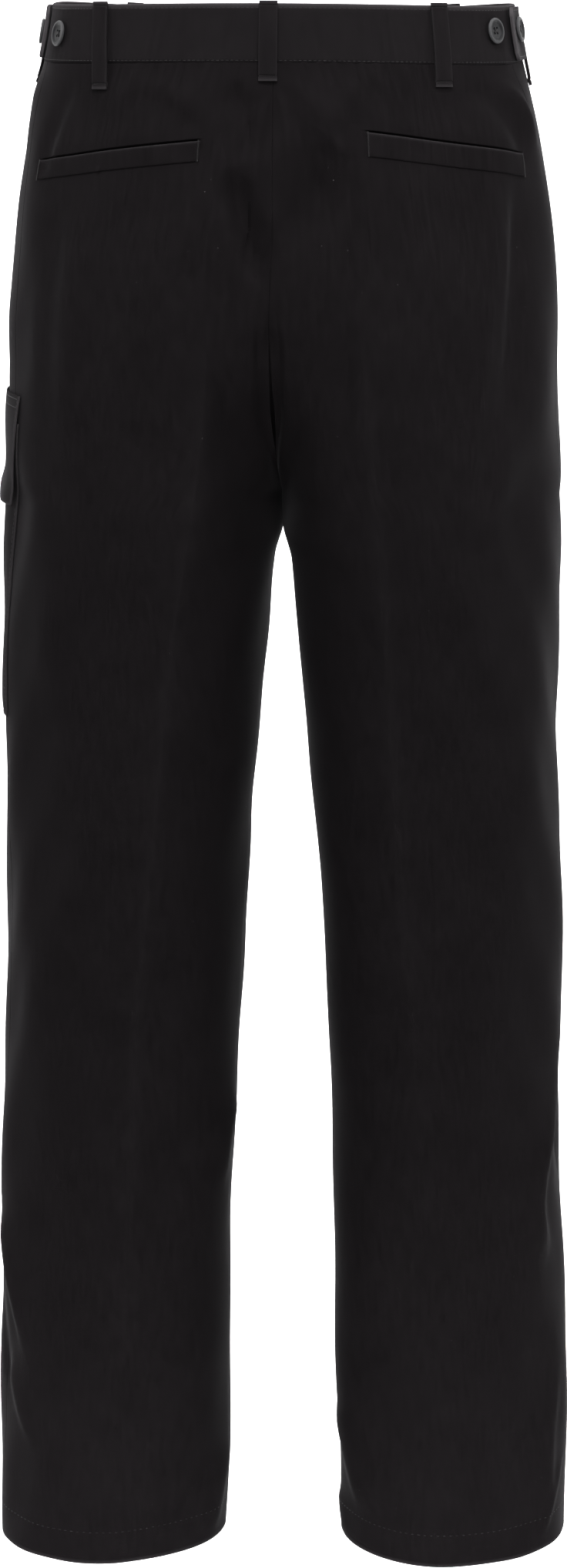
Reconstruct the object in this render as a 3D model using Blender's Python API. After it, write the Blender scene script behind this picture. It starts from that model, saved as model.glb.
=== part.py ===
"""Black twill trousers with one cargo pocket, filled out as if worn, in metres.

+X is the wearer's right, +Y the wearer's front and +Z up. The origin is the middle of the waist, where
the wearer holds the trousers up. Every piece of cloth is a wall on one form: level rings round the hips
that part into a ring round each leg. A place on the form has a level, its height below the waistband's
top edge, and a turn: 0 at the centre back seam or inseam, 0.5 at the side, and 1 at the centre front
seam or inseam. The form is worked out for the right leg and mirrored for the left one.
"""

import math

import bmesh
import bpy
import numpy as np
from mathutils import Vector

# Cloth and seams
SEAM_GAP = 0.0003
CLOTH_WALL = 0.0015
HEM_WALL = 0.0022
BAND_WALL = 0.0030
LAID_ON = 0.0004  # room under a piece that lies on another
BAND_PROUD = 0.0004  # how far the folded band stands out past the panels

# Waist to hem
WAISTBAND_HEIGHT = 0.038
HEM_LEVEL = -1.0725
HEM_TURN_UP = 0.024
FORK_LEVEL = -0.310
WAIST_RISE_BACK = 0.021
WAIST_RISE_SIDE = 0.016
WAIST_RISE_FRONT = 0.006
RISE_FADES_FROM = -0.040
RISE_FADES_TO = -0.160

# Small parts
LOOP_WIDTH = 0.012
LOOP_WALL = 0.0015
LOOP_ABOVE_BAND = 0.0015
LOOPS = (  # place, leg, turn at the top and at the bottom, length, how far it bows off the band
    ("back", "left", 0.252, 0.226, 0.0560, 0.0015),
    ("back", "right", 0.238, 0.229, 0.0535, 0.0015),
    ("side", "left", 0.508, 0.508, 0.0550, 0.0028),
    ("side", "right", 0.508, 0.508, 0.0550, 0.0028),
    ("front", "left", 0.760, 0.760, 0.0550, 0.0015),
    ("front", "right", 0.760, 0.760, 0.0550, 0.0015),
)
CENTRE_LOOP_EDGES = (-0.0095, 0.0025)  # it is sewn on beside the seam, to the wearer's left
CENTRE_LOOP_LENGTH = 0.051
CENTRE_LOOP_BOW = 0.0020
WELT_WALL = 0.0012
WELT_LIFT = 0.0010  # clear of the flats of the panel's folds
TAB_WALL = 0.0020
TAB_HEIGHT = 0.035
POCKET_WALL = 0.0012
FLAP_WALL = 0.0015
BUTTON_RADIUS = 0.0085
BUTTON_THICKNESS = 0.0027
FLY_WALL = 0.0013

# Columns and rows of a leg panel's mesh
COLUMNS_TO_CREASE = 5
COLUMNS_TO_SIDE = 7
ROW_BANDS = (  # first level, last level, rows of faces
    (-0.0383, -0.190, 7),
    (-0.190, -0.270, 4),
    (-0.270, -0.340, 6),
    (-0.340, -0.460, 4),
    (-0.460, HEM_LEVEL + HEM_TURN_UP, 17),
    (HEM_LEVEL + HEM_TURN_UP, HEM_LEVEL, 1),
)


def table(columns, rows):
    """Rows of numbers under named columns, lowest level first."""
    return np.array(sorted(rows), dtype=[(name, float) for name in columns.split()])


# Rings round the whole body, from centre back over the side to centre front
HIPS = table(
    "level half_width back front square",
    [
        (0.020, 0.1535, 0.1100, 0.1040, 2.15),
        (0.000, 0.1550, 0.1115, 0.1050, 2.15),
        (-0.038, 0.1612, 0.1160, 0.1085, 2.20),
        (-0.060, 0.1675, 0.1205, 0.1105, 2.20),
        (-0.088, 0.1735, 0.1250, 0.1120, 2.20),
        (-0.145, 0.1817, 0.1310, 0.1130, 2.25),
        (-0.205, 0.1862, 0.1345, 0.1120, 2.30),
        (-0.310, 0.1888, 0.1290, 0.1070, 2.30),
        (-0.360, 0.1913, 0.1220, 0.1040, 2.25),
        (-0.450, 0.1917, 0.1090, 0.0985, 2.20),
    ],
)

# Rings round one leg: where they meet the wearer's sides, and how far they reach back and forward
LEGS = table(
    "level outer inner back front middle",
    [
        (-0.080, 0.1725, 0.0000, 0.1240, 0.1100, 0.0000),
        (-0.200, 0.1860, 0.0000, 0.1290, 0.1080, 0.0000),
        (-0.310, 0.1888, 0.0000, 0.1250, 0.1040, 0.0000),
        (-0.334, 0.1903, 0.0004, 0.1210, 0.1025, 0.0000),
        (-0.360, 0.1913, 0.0064, 0.1165, 0.1010, 0.0000),
        (-0.433, 0.1916, 0.0140, 0.1060, 0.0965, 0.0010),
        (-0.507, 0.1920, 0.0196, 0.0975, 0.0910, 0.0020),
        (-0.582, 0.1936, 0.0249, 0.0905, 0.0860, 0.0030),
        (-0.657, 0.1951, 0.0299, 0.0860, 0.0820, 0.0020),
        (-0.733, 0.1967, 0.0336, 0.0825, 0.0775, 0.0000),
        (-0.811, 0.1985, 0.0360, 0.0795, 0.0740, -0.0010),
        (-0.967, 0.2020, 0.0394, 0.0765, 0.0695, -0.0010),
        (-1.0725, 0.2037, 0.0415, 0.0770, 0.0670, 0.0000),
    ],
)

# Turn of the side seams, and how far from the wearer's middle the pressed creases run and stand out
SEAMS = table(
    "level left right",
    [
        (0.000, 0.405, 0.405),
        (-0.040, 0.405, 0.410),
        (-0.085, 0.410, 0.450),
        (-0.130, 0.405, 0.485),
        (-0.250, 0.400, 0.490),
        (-0.400, 0.425, 0.490),
        (-1.0725, 0.440, 0.490),
    ],
)
CREASES = table(
    "level left right front left_ridge right_ridge front_ridge",
    [
        (0.000, 0.0450, 0.0500, 0.0850, 0.0000, 0.0000, 0.0000),
        (-0.120, 0.0380, 0.0530, 0.0860, 0.0000, 0.0005, 0.0010),
        (-0.190, 0.0390, 0.0600, 0.0870, 0.0015, 0.0020, 0.0015),
        (-0.280, 0.0495, 0.0720, 0.0880, 0.0030, 0.0035, 0.0020),
        (-0.400, 0.0680, 0.0790, 0.0920, 0.0040, 0.0040, 0.0030),
        (-0.500, 0.0790, 0.0845, 0.0960, 0.0045, 0.0040, 0.0040),
        (-0.680, 0.0946, 0.0975, 0.1030, 0.0045, 0.0040, 0.0040),
        (-0.910, 0.1050, 0.1080, 0.1120, 0.0035, 0.0020, 0.0035),
        (-1.0725, 0.1130, 0.1150, 0.1180, 0.0025, 0.0010, 0.0030),
    ],
)
CREASE_SPREAD = 0.016

# The largest folds: both ends of each, its half width, and its depth, below nought for a trough
FOLDS = (
    # leg, turn and level at the top, turn and level at the bottom, half width, depth
    ("left", 0.075, -0.095, 0.010, -0.235, 0.014, -0.0055),
    ("left", 0.150, -0.120, 0.045, -0.270, 0.016, 0.0030),
    ("right", 0.070, -0.080, 0.015, -0.250, 0.014, -0.0050),
    ("right", 0.185, -0.110, 0.060, -0.290, 0.018, 0.0030),
    ("right", 0.330, -0.090, 0.300, -0.330, 0.013, 0.0030),
    ("left", 0.060, -0.300, 0.150, -0.420, 0.016, -0.0040),
    ("right", 0.060, -0.300, 0.160, -0.430, 0.016, -0.0040),
    ("left", 0.440, -0.800, 0.300, -0.950, 0.020, -0.0050),
    ("left", 0.450, -0.900, 0.280, -1.020, 0.018, -0.0040),
    ("left", 0.050, -0.720, 0.120, -0.860, 0.018, -0.0050),
    ("right", 0.460, -0.700, 0.330, -0.860, 0.022, -0.0060),
    ("right", 0.050, -0.900, 0.140, -1.020, 0.018, -0.0045),
    ("left", 0.940, -0.230, 0.780, -0.340, 0.016, -0.0040),
    ("right", 0.940, -0.230, 0.780, -0.340, 0.016, -0.0040),
    ("left", 0.600, -0.740, 0.760, -0.860, 0.020, -0.0045),
    ("right", 0.600, -0.780, 0.740, -0.900, 0.020, -0.0045),
)

# How the two rings blend: quickly along the crotch seam, slowly towards the sides
SEAT_PARTS_BACK = -0.125
SEAT_PARTS_FRONT = -0.165
PARTING_ROUNDNESS = 0.62
SIDES_PART_FROM = -0.120
SIDES_PART_TO = -0.420
CROTCH_TURNS = 0.22  # how far round from the crotch seam its quick parting is felt
CROTCH_SPREAD = 1.1
LEG_TWIST = 0.065  # the right leg hangs a little forward of the left one, as shown
SEAT_SEAM_SHIFT = 0.0035  # the centre back seam sits a little to the wearer's right over the seat
TWIST_FROM = -0.250
TWIST_TO = -0.600
NORMAL_STEP = 0.003  # between the places that a normal is measured from


def curve(rows, column, level):
    """A column of a table at any level, on a smooth curve through its rows that never overshoots."""
    knots = rows["level"]
    values = rows[column]
    steps = np.diff(knots)
    slopes = np.diff(values) / steps
    tangents = np.concatenate([slopes[:1], np.zeros(len(slopes) - 1), slopes[-1:]])
    before, after = slopes[:-1], slopes[1:]
    same_way = before * after > 0
    tangents[1:-1][same_way] = (2 * before * after)[same_way] / (before + after)[same_way]
    place = np.clip(np.searchsorted(knots, level) - 1, 0, len(steps) - 1)
    t = np.clip((level - knots[place]) / steps[place], 0, 1)
    rise = steps[place] * (tangents[place] * t * (1 - t) ** 2 - tangents[place + 1] * t**2 * (1 - t))
    return values[place] + (values[place + 1] - values[place]) * (3 - 2 * t) * t**2 + rise


def smooth_step(value):
    value = np.clip(value, 0, 1)
    return value * value * (3 - 2 * value)


def hip_ring(level, turn):
    """A place on the ring round the hips: x towards the side, y towards the front."""
    angle = math.pi * (turn - 0.5)
    power = 2 / curve(HIPS, "square", level)
    depth = np.where(angle < 0, curve(HIPS, "back", level), curve(HIPS, "front", level))
    x = curve(HIPS, "half_width", level) * np.clip(np.cos(angle), 0, 1) ** power
    return x, depth * np.sign(angle) * np.abs(np.sin(angle)) ** power


def leg_ring(level, turn):
    """A place on the ring round a leg, whose inner side takes up the cloth of the crotch."""
    front = turn > 0.5
    from_inseam = 2 * np.where(front, 1 - turn, turn)
    angle = math.pi * (from_inseam + CROTCH_SPREAD * from_inseam * (1 - from_inseam) ** 2)
    outer = curve(LEGS, "outer", level)
    inner = curve(LEGS, "inner", level)
    depth = np.where(front, curve(LEGS, "front", level), -curve(LEGS, "back", level))
    x = (outer + inner) / 2 - (outer - inner) / 2 * np.cos(angle)
    return x, curve(LEGS, "middle", level) + depth * np.sin(angle)


def parted(level, turn):
    """0 where the cloth lies round the hips, 1 where it lies round a leg, with a rounded crotch seam."""
    starts = SEAT_PARTS_BACK + (SEAT_PARTS_FRONT - SEAT_PARTS_BACK) * smooth_step(turn)
    reached = np.clip((starts - level) / (starts - FORK_LEVEL), 0, 1)
    at_seam = 1 - (1 - reached**2) ** PARTING_ROUNDNESS
    at_side = smooth_step((SIDES_PART_FROM - level) / (SIDES_PART_FROM - SIDES_PART_TO))
    return at_seam + (at_side - at_seam) * smooth_step(np.minimum(turn, 1 - turn) / CROTCH_TURNS)


def plain_form(level, turn):
    """The form without creases and folds, for the right leg."""
    hip_x, hip_y = hip_ring(level, turn)
    leg_x, leg_y = leg_ring(level, turn)
    share = parted(level, turn)
    x = SEAM_GAP / 2 + hip_x + (leg_x - hip_x) * share
    y = hip_y + (leg_y - hip_y) * share
    to_side = 1 - 2 * np.abs(turn - 0.5)
    ends = np.where(turn < 0.5, WAIST_RISE_BACK, WAIST_RISE_FRONT)
    rise = ends + (WAIST_RISE_SIDE - ends) * smooth_step(to_side)
    fade = smooth_step((level - RISE_FADES_TO) / (RISE_FADES_FROM - RISE_FADES_TO))
    return np.stack([x, y, level + rise * fade], axis=-1)


def girth(level):
    """Metres of cloth for one whole turn at each level."""
    turns = np.linspace(0, 1, 25)
    ring = plain_form(np.asarray(level)[..., None] + 0 * turns, turns + 0 * np.asarray(level)[..., None])
    return np.linalg.norm(np.diff(ring, axis=-2), axis=-1).sum(axis=-1)


def turn_at(level, x, front=False):
    """The turn at which the form is x from the wearer's middle, for a column of levels."""
    turns = np.linspace(1, 0.5, 81) if front else np.linspace(0, 0.5, 81)
    rings = plain_form(level[:, None] + 0 * turns, turns + 0 * level[:, None])[..., 0]
    return np.array([np.interp(wanted, ring, turns) for wanted, ring in zip(x, rings)])


def form(leg, level, turn):
    """The outer face of the cloth, with creases and folds, for the right leg's side of the body."""
    level, turn = np.broadcast_arrays(np.asarray(level, float), np.asarray(turn, float))
    place = plain_form(level, turn)
    step = 0.004
    along = plain_form(level, np.minimum(turn + step, 1)) - plain_form(level, np.maximum(turn - step, 0))
    outward = np.stack([-along[..., 1], along[..., 0], 0 * level], axis=-1) * -1
    outward /= np.linalg.norm(outward, axis=-1, keepdims=True)
    rows = level[:, 0]
    round_once = girth(rows)[:, None]
    out = np.zeros(level.shape)
    for front in (False, True):
        column = "front" if front else leg
        middle = turn_at(rows, curve(CREASES, column, rows), front)[:, None]
        away = (turn - middle) * round_once
        out += curve(CREASES, column + "_ridge", level) * np.exp(-np.abs(away) / CREASE_SPREAD)
    for fold_leg, top_turn, top_level, low_turn, low_level, half_width, depth in FOLDS:
        if fold_leg != leg:
            continue
        cloth = 0.5 * (girth(np.array([top_level])) + girth(np.array([low_level])))
        run = np.array([(low_turn - top_turn) * cloth[0], low_level - top_level])
        across = (turn - top_turn) * round_once
        down = level - top_level
        done = (across * run[0] + down * run[1]) / (run @ run)
        off = (across * run[1] - down * run[0]) / np.linalg.norm(run)
        ends = smooth_step(done * 3 + 0.5) * smooth_step((1 - done) * 3 + 0.5)
        out += depth * ends * np.exp(-((off / half_width) ** 2))
    fade = smooth_step((-0.050 - level) / 0.050)
    return place + outward * (out * fade)[..., None]


def facing(leg, level, turn):
    """Outward normals of the form, for the right leg's side of the body."""
    down = form(leg, level - NORMAL_STEP, turn) - form(leg, level + NORMAL_STEP, turn)
    ahead = form(leg, level, np.minimum(turn + NORMAL_STEP, 1))
    behind = form(leg, level, np.maximum(turn - NORMAL_STEP, 0))
    normal = np.cross(ahead - behind, -down)
    return normal / np.linalg.norm(normal, axis=-1, keepdims=True)


def level_facing(normal):
    """The same normals laid level, for edges that a neighbour meets."""
    flat = normal * (1, 1, 0)
    return flat / np.linalg.norm(flat, axis=-1, keepdims=True)


def placed(grid, leg):
    """Points worked out for the right leg, put on their own leg."""
    own = grid * (-1, 1, 1) if leg == "left" else grid.copy()
    own[..., 1] += LEG_TWIST * own[..., 0] * smooth_step((TWIST_FROM - own[..., 2]) / (TWIST_FROM - TWIST_TO))
    at_seam = smooth_step((own[..., 2] + 0.200) / 0.080) * np.exp(-((own[..., 0] / 0.055) ** 2))
    own[..., 0] += SEAT_SEAM_SHIFT * at_seam * smooth_step(own[..., 1] / -0.050)
    return own


def finish(name, colour, roughness, metallic=0.0):
    """A material of a piece's own."""
    material = bpy.data.materials.new(name)
    material.use_nodes = True
    shader = material.node_tree.nodes["Principled BSDF"]
    shader.inputs["Base Color"].default_value = (*colour, 1)
    shader.inputs["Roughness"].default_value = roughness
    shader.inputs["Metallic"].default_value = metallic
    return material


TWILL_COLOUR = (0.0095, 0.0085, 0.0095)
BUTTON_COLOUR = (0.020, 0.020, 0.021)
TAPE_COLOUR = (0.010, 0.010, 0.011)


def add_object(name, shell, colour, roughness):
    """A named object with the mesh in shell, its faces pointing out."""
    bmesh.ops.recalc_face_normals(shell, faces=shell.faces)
    mesh = bpy.data.meshes.new(name)
    shell.to_mesh(mesh)
    shell.free()
    mesh.shade_smooth()
    mesh.set_sharp_from_angle(angle=math.radians(40))
    made = bpy.data.objects.new(name, mesh)
    bpy.context.scene.collection.objects.link(made)
    mesh.materials.append(finish(name, colour, roughness))
    return made


def wall(name, outer, inner, colour=TWILL_COLOUR, roughness=0.8):
    """A closed wall between an outer and an inner grid of points."""
    shell = bmesh.new()
    rows, columns = outer.shape[:2]
    faces = []
    for grid in (outer, inner):
        verts = [[shell.verts.new(grid[row, column]) for column in range(columns)] for row in range(rows)]
        faces.append(verts)
        for upper, lower in zip(verts, verts[1:]):
            for column in range(columns - 1):
                shell.faces.new([upper[column], upper[column + 1], lower[column + 1], lower[column]])
    outside, inside = faces
    rim = [(0, column) for column in range(columns)]
    rim += [(row, columns - 1) for row in range(1, rows)]
    rim += [(rows - 1, column) for column in range(columns - 2, -1, -1)]
    rim += [(row, 0) for row in range(rows - 2, 0, -1)]
    for here, there in zip(rim, rim[1:] + rim[:1]):
        shell.faces.new(
            [
                outside[here[0]][here[1]],
                outside[there[0]][there[1]],
                inside[there[0]][there[1]],
                inside[here[0]][here[1]],
            ]
        )
    return add_object(name, shell, colour, roughness)


def pull_in(grid, distance, edge):
    """Move one edge column of a grid towards its neighbour by a distance for each row."""
    beside = 1 if edge == 0 else -2
    towards = grid[:, beside] - grid[:, edge]
    length = np.linalg.norm(towards, axis=-1, keepdims=True)
    grid[:, edge] += towards / length * np.asarray(distance)[..., None]


def panel_levels():
    rows = [np.linspace(first, last, count + 1)[1:] for first, last, count in ROW_BANDS]
    return np.concatenate([[ROW_BANDS[0][0]], *rows])


def leg_panel(leg, front):
    """A front or back panel of one leg, from the waistband to the hem."""
    levels = panel_levels()
    side = curve(SEAMS, leg, levels)
    crease = turn_at(levels, curve(CREASES, "front" if front else leg, levels), front)
    centre = 1.0 if front else 0.0
    first = np.linspace(0, 1, COLUMNS_TO_CREASE + 1)
    first = first - 0.3 * first * (1 - first) ** 2
    second = np.linspace(0, 1, COLUMNS_TO_SIDE + 1)[1:]
    to_crease = centre + (crease[:, None] - centre) * first
    to_side = crease[:, None] + (side - crease)[:, None] * second
    turn = np.concatenate([to_crease, to_side], axis=1)
    outer = form(leg, levels[:, None], turn)
    normal = facing(leg, levels[:, None], turn)
    normal[0] = level_facing(normal[0])
    normal[-1] = level_facing(normal[-1])
    below_fork = parted(levels, np.full(len(levels), centre))
    pull_in(outer, SEAM_GAP / 2 * below_fork, 0)
    pull_in(outer, np.full(len(levels), SEAM_GAP / 2), -1)
    thickness = np.where(levels <= HEM_LEVEL + HEM_TURN_UP, HEM_WALL, CLOTH_WALL)[:, None, None]
    inner = outer - normal * thickness
    name = ("front_" if front else "back_") + leg
    return wall(name, placed(outer, leg), placed(inner, leg))


def patch(leg, levels, turns, lift, thickness):
    """Outer and inner grids of a piece that lies on the form, lifted off it."""
    levels = np.asarray(levels, float)
    levels = levels[:, None] if levels.ndim == 1 else levels
    turns = np.atleast_2d(np.asarray(turns, float))
    base = form(leg, levels, turns)
    normal = level_facing(facing(leg, levels, turns))
    lift = np.asarray(lift, float)
    lift = lift[:, None, None] if lift.ndim == 1 else lift[..., None] if lift.ndim == 2 else lift
    inner = base + normal * lift
    outer = inner + normal * thickness
    return placed(outer, leg), placed(inner, leg)


def waistband(leg):
    """Half of the waistband, from centre back to centre front."""
    levels = np.linspace(0, -WAISTBAND_HEIGHT, 4)
    turns = np.linspace(0, 1, 25)
    outer, inner = patch(leg, levels, turns, BAND_PROUD - BAND_WALL, BAND_WALL)
    return wall("waistband_" + leg, outer, inner)


def loop_rows(length, bow):
    """Levels down a loop, and its lift off the form at each."""
    down = np.array([0.0, 0.06, 0.16, 0.32, 0.50, 0.68, 0.84, 0.94, 1.0])
    between_stitches = np.clip((down - 0.03) / 0.94, 0, 1)
    lift = BAND_PROUD + LAID_ON + bow * np.sin(math.pi * between_stitches) ** 0.8
    return LOOP_ABOVE_BAND - length * down, lift


def belt_loop(name, leg, top_turn, bottom_turn, length, bow):
    """A strip sewn down above and below the band, which bows off it between the stitches."""
    levels, lift = loop_rows(length, bow)
    turn = np.linspace(top_turn, bottom_turn, len(levels))[:, None]
    beside = plain_form(levels[:, None], turn + 0.01) - plain_form(levels[:, None], turn - 0.01)
    half = LOOP_WIDTH / 2 / (np.linalg.norm(beside, axis=-1) / 0.02)
    outer, inner = patch(leg, levels, turn + half * np.array([-1, -0.33, 0.33, 1]), lift, LOOP_WALL)
    return wall(name, outer, inner)


def centre_loop():
    """The loop at the centre back, which crosses the seam close to its own edge."""
    levels, lift = loop_rows(CENTRE_LOOP_LENGTH, CENTRE_LOOP_BOW)
    to_left, to_right = CENTRE_LOOP_EDGES
    grids = []
    for leg, distances in (("left", np.linspace(-to_left, 0, 4)), ("right", (to_right / 2, to_right))):
        turns = [turn_at(levels, np.full(len(levels), distance)) for distance in distances]
        grids.append(patch(leg, levels, np.stack(turns, axis=1), lift, LOOP_WALL))
    outer, inner = (np.concatenate(halves, axis=1) for halves in zip(*grids))
    return wall("loop_back_centre", outer, inner)


def both_sides(grid):
    """A grid whose first column is at the middle, carried over to the other side of the body."""
    middle = grid[:, :1] * (0, 1, 1)
    return np.concatenate([(grid * (-1, 1, 1))[:, :0:-1], middle, grid[:, 1:]], axis=1)


WELT_ENDS = {  # level and turn of the welt's top edge at its inner and its outer end, and its height
    "left": ((-0.082, 0.074), (-0.095, 0.351), 0.0105),
    "right": ((-0.077, 0.108), (-0.090, 0.385), 0.0125),
}


def welt(leg):
    """The single welt of a hip pocket, sloping down towards the side."""
    inner_end, outer_end, height = WELT_ENDS[leg]
    top, turns = np.linspace(outer_end, inner_end, 25).T
    levels = top[None, :] - height * np.array([0, 0.5, 1])[:, None]
    outer, inner = patch(leg, levels, np.broadcast_to(turns, levels.shape), WELT_LIFT, WELT_WALL)
    return wall("welt_" + leg, outer, inner)


POCKET_TOP = -0.262
POCKET_BOTTOM = -0.467
POCKET_TURNS = 0.290  # how far the pocket reaches forward from the side seam
POCKET_BACK_EDGE = 0.004
FLAP_BACK_EDGE = 0.002
FLAP_SHAPE = table(  # how the flap lies on the panel, passes over the pocket and stands off at its edge
    "level lift",
    [(-0.243, LAID_ON), (-0.252, 0.0014), (-0.262, 0.0021), (-0.290, 0.0030), (-0.318, 0.0048)],
)


def cargo_turns(levels, back_edge):
    """Turns across the cargo pocket, forward from the left side seam."""
    start = curve(SEAMS, "left", levels)[:, None] + back_edge
    return start + (POCKET_TURNS - 2 * back_edge) * np.linspace(0, 1, 13)


def cargo_pocket():
    """The pouch, sewn on the left front panel with its back edge along the side seam."""
    levels = np.linspace(POCKET_TOP, POCKET_BOTTOM, 9)
    outer, inner = patch("left", levels, cargo_turns(levels, POCKET_BACK_EDGE), LAID_ON, POCKET_WALL)
    return wall("cargo_pocket", outer, inner)


def cargo_flap():
    """The flap over the pouch's mouth."""
    levels = np.array([-0.243, -0.250, -0.260, -0.275, -0.290, -0.304, -0.318])
    lift = curve(FLAP_SHAPE, "lift", levels)
    outer, inner = patch("left", levels, cargo_turns(levels, FLAP_BACK_EDGE), lift, FLAP_WALL)
    return wall("cargo_flap", outer, inner)


TAB_TURNS = {"left": (0.440, 0.489), "right": (0.416, 0.487)}  # its free end and its sewn end
FASTENED_BUTTON_TURN = {"left": 0.468, "right": 0.449}
FREE_BUTTON_TURN = 0.362
WAIST_BUTTON_TURN = 0.965
BUTTON_LEVEL = {"left": -0.0195, "right": -0.0165}


def adjuster_tab(leg):
    """A tab sewn at the side of the band, pointing back, with cut corners at its free end."""
    turns = np.linspace(*TAB_TURNS[leg], 6)
    cut = np.array([0.72, 0.96, 1.0, 1.0, 1.0, 1.0])
    levels = -WAISTBAND_HEIGHT / 2 + TAB_HEIGHT / 2 * cut[None, :] * np.array([1, 0, -1])[:, None]
    outer, inner = patch(leg, levels, np.broadcast_to(turns, levels.shape), BAND_PROUD + LAID_ON, TAB_WALL)
    return wall("adjuster_tab_" + leg, outer, inner)


def button(name, leg, turn, level, lift):
    """A turned button with a raised rim, facing outwards at a place on the band."""
    profile = (  # radius and height as shares of the button's own
        (0.00, 0.55),
        (0.56, 0.55),
        (0.68, 0.90),
        (0.84, 1.00),
        (1.00, 0.60),
        (0.96, 0.20),
        (0.60, 0.00),
        (0.00, 0.00),
    )
    turned = bmesh.new()
    points = [turned.verts.new((r * BUTTON_RADIUS, 0, h * BUTTON_THICKNESS)) for r, h in profile]
    edges = [turned.edges.new(pair) for pair in zip(points, points[1:])]
    bmesh.ops.spin(
        turned, geom=points + edges, cent=(0, 0, 0), axis=(0, 0, 1), angle=math.tau, steps=18, use_merge=True
    )
    bmesh.ops.remove_doubles(turned, verts=turned.verts, dist=0.00001)
    normal = facing(leg, np.array([[level]]), np.array([[turn]]))[0, 0]
    seat = form(leg, [[level]], [[turn]])[0, 0] + normal * lift
    made = add_object(name, turned, BUTTON_COLOUR, 0.35)
    outward = normal * (-1, 1, 1) if leg == "left" else normal
    made.rotation_euler = Vector(outward).to_track_quat("Z", "Y").to_euler()
    made.location = placed(seat, leg)
    return made


ZIP_TOP = -0.045
ZIP_BOTTOM = -0.160
ZIP_HALF_WIDTH = 0.010
ZIP_BEHIND = CLOTH_WALL + 0.0009  # clear of the flats between the panels' columns
GUARD_TOP = -0.004
GUARD_BOTTOM = -0.175
GUARD_HALF_WIDTH = 0.020


def fly_strip(name, half_width, levels, behind, colour=TWILL_COLOUR):
    """A strip across the centre front, whose outer face lies behind the panels' outer face."""
    turns = 1 - half_width / girth(levels)[:, None] * np.array([0.0, 0.5, 1.0])
    outer, inner = patch("right", levels, turns, -behind - FLY_WALL, FLY_WALL)
    return wall(name, both_sides(outer), both_sides(inner), colour)


def main():
    for old in list(bpy.data.objects):
        bpy.data.objects.remove(old)
    on_band = BAND_PROUD + LAID_ON
    for leg in ("left", "right"):
        leg_panel(leg, front=False)
        leg_panel(leg, front=True)
        waistband(leg)
        welt(leg)
        adjuster_tab(leg)
        button(f"button_{leg}_inner", leg, FREE_BUTTON_TURN, BUTTON_LEVEL[leg], on_band)
        on_tab = on_band + TAB_WALL + LAID_ON
        button(f"button_{leg}_outer", leg, FASTENED_BUTTON_TURN[leg], BUTTON_LEVEL[leg], on_tab)
    for place, leg, *shape in LOOPS:
        belt_loop(f"loop_{place}_{leg}", leg, *shape)
    centre_loop()
    button("waist_button", "left", WAIST_BUTTON_TURN, BUTTON_LEVEL["left"], on_band)
    cargo_pocket()
    cargo_flap()
    fly_strip("fly_zip", ZIP_HALF_WIDTH, np.linspace(ZIP_TOP, ZIP_BOTTOM, 6), ZIP_BEHIND, TAPE_COLOUR)
    guard_levels = np.linspace(GUARD_TOP, GUARD_BOTTOM, 8)
    fly_strip("fly_guard", GUARD_HALF_WIDTH, guard_levels, ZIP_BEHIND + FLY_WALL + LAID_ON)


main()
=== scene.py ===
import math

import bmesh
import bpy
import numpy as np
from mathutils import Matrix, Vector


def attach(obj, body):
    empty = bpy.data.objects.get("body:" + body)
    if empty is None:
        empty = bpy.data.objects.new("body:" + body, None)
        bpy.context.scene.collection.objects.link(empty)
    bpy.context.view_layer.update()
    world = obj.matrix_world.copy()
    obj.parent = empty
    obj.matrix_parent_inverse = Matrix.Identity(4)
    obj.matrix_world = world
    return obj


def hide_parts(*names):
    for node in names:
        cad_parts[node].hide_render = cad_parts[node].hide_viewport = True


# Off-black cotton trousers with one cargo pocket, filled out as worn. +X is the wearer's right, +Y the
# wearer's front and +Z up, and the origin is the middle of the waist, where the wearer holds them up.
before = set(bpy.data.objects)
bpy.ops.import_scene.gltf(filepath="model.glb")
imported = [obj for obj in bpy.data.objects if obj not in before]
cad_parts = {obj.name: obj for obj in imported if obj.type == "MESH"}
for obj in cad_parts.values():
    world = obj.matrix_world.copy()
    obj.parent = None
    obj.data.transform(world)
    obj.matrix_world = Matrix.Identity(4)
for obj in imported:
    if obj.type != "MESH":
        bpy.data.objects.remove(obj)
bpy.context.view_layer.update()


# ---- Legs ----
# Four long panels of cotton twill, a front and a back for each leg, sewn at the centre, the side and
# the inseam with the seams pressed open, creased with an iron and turned up inside at the hem. A place
# on the cloth is a level and a turn: 0 at centre back or inseam, 0.5 at the side, 1 at centre front.

SEAM_GAP = 0.00006
WAISTBAND_HEIGHT = 0.038
HEM_LEVEL = -1.0725
HEM_TURN_UP = 0.024
FORK_LEVEL = -0.310
CLOTH_WALL = 0.0006
SEAM_ROUND = 0.00045  # how tightly the cloth turns in at a seam
SEAM_ALLOWANCE = 0.012
CENTRE_HOLD = 0.005  # how far the stitches of the centre seam draw both legs together
HEM_ROUND = 0.0010
CREASE_SPREAD = 0.020
CREASE_EDGE = 0.0018
SIDES = ("left", "right")


def table(columns, rows, unit=1.0):
    """Rows of numbers under named columns, lowest level first."""
    rows = [tuple(unit * value for value in row) for row in sorted(rows)]
    return np.array(rows, dtype=[(name, float) for name in columns.split()])


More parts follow.
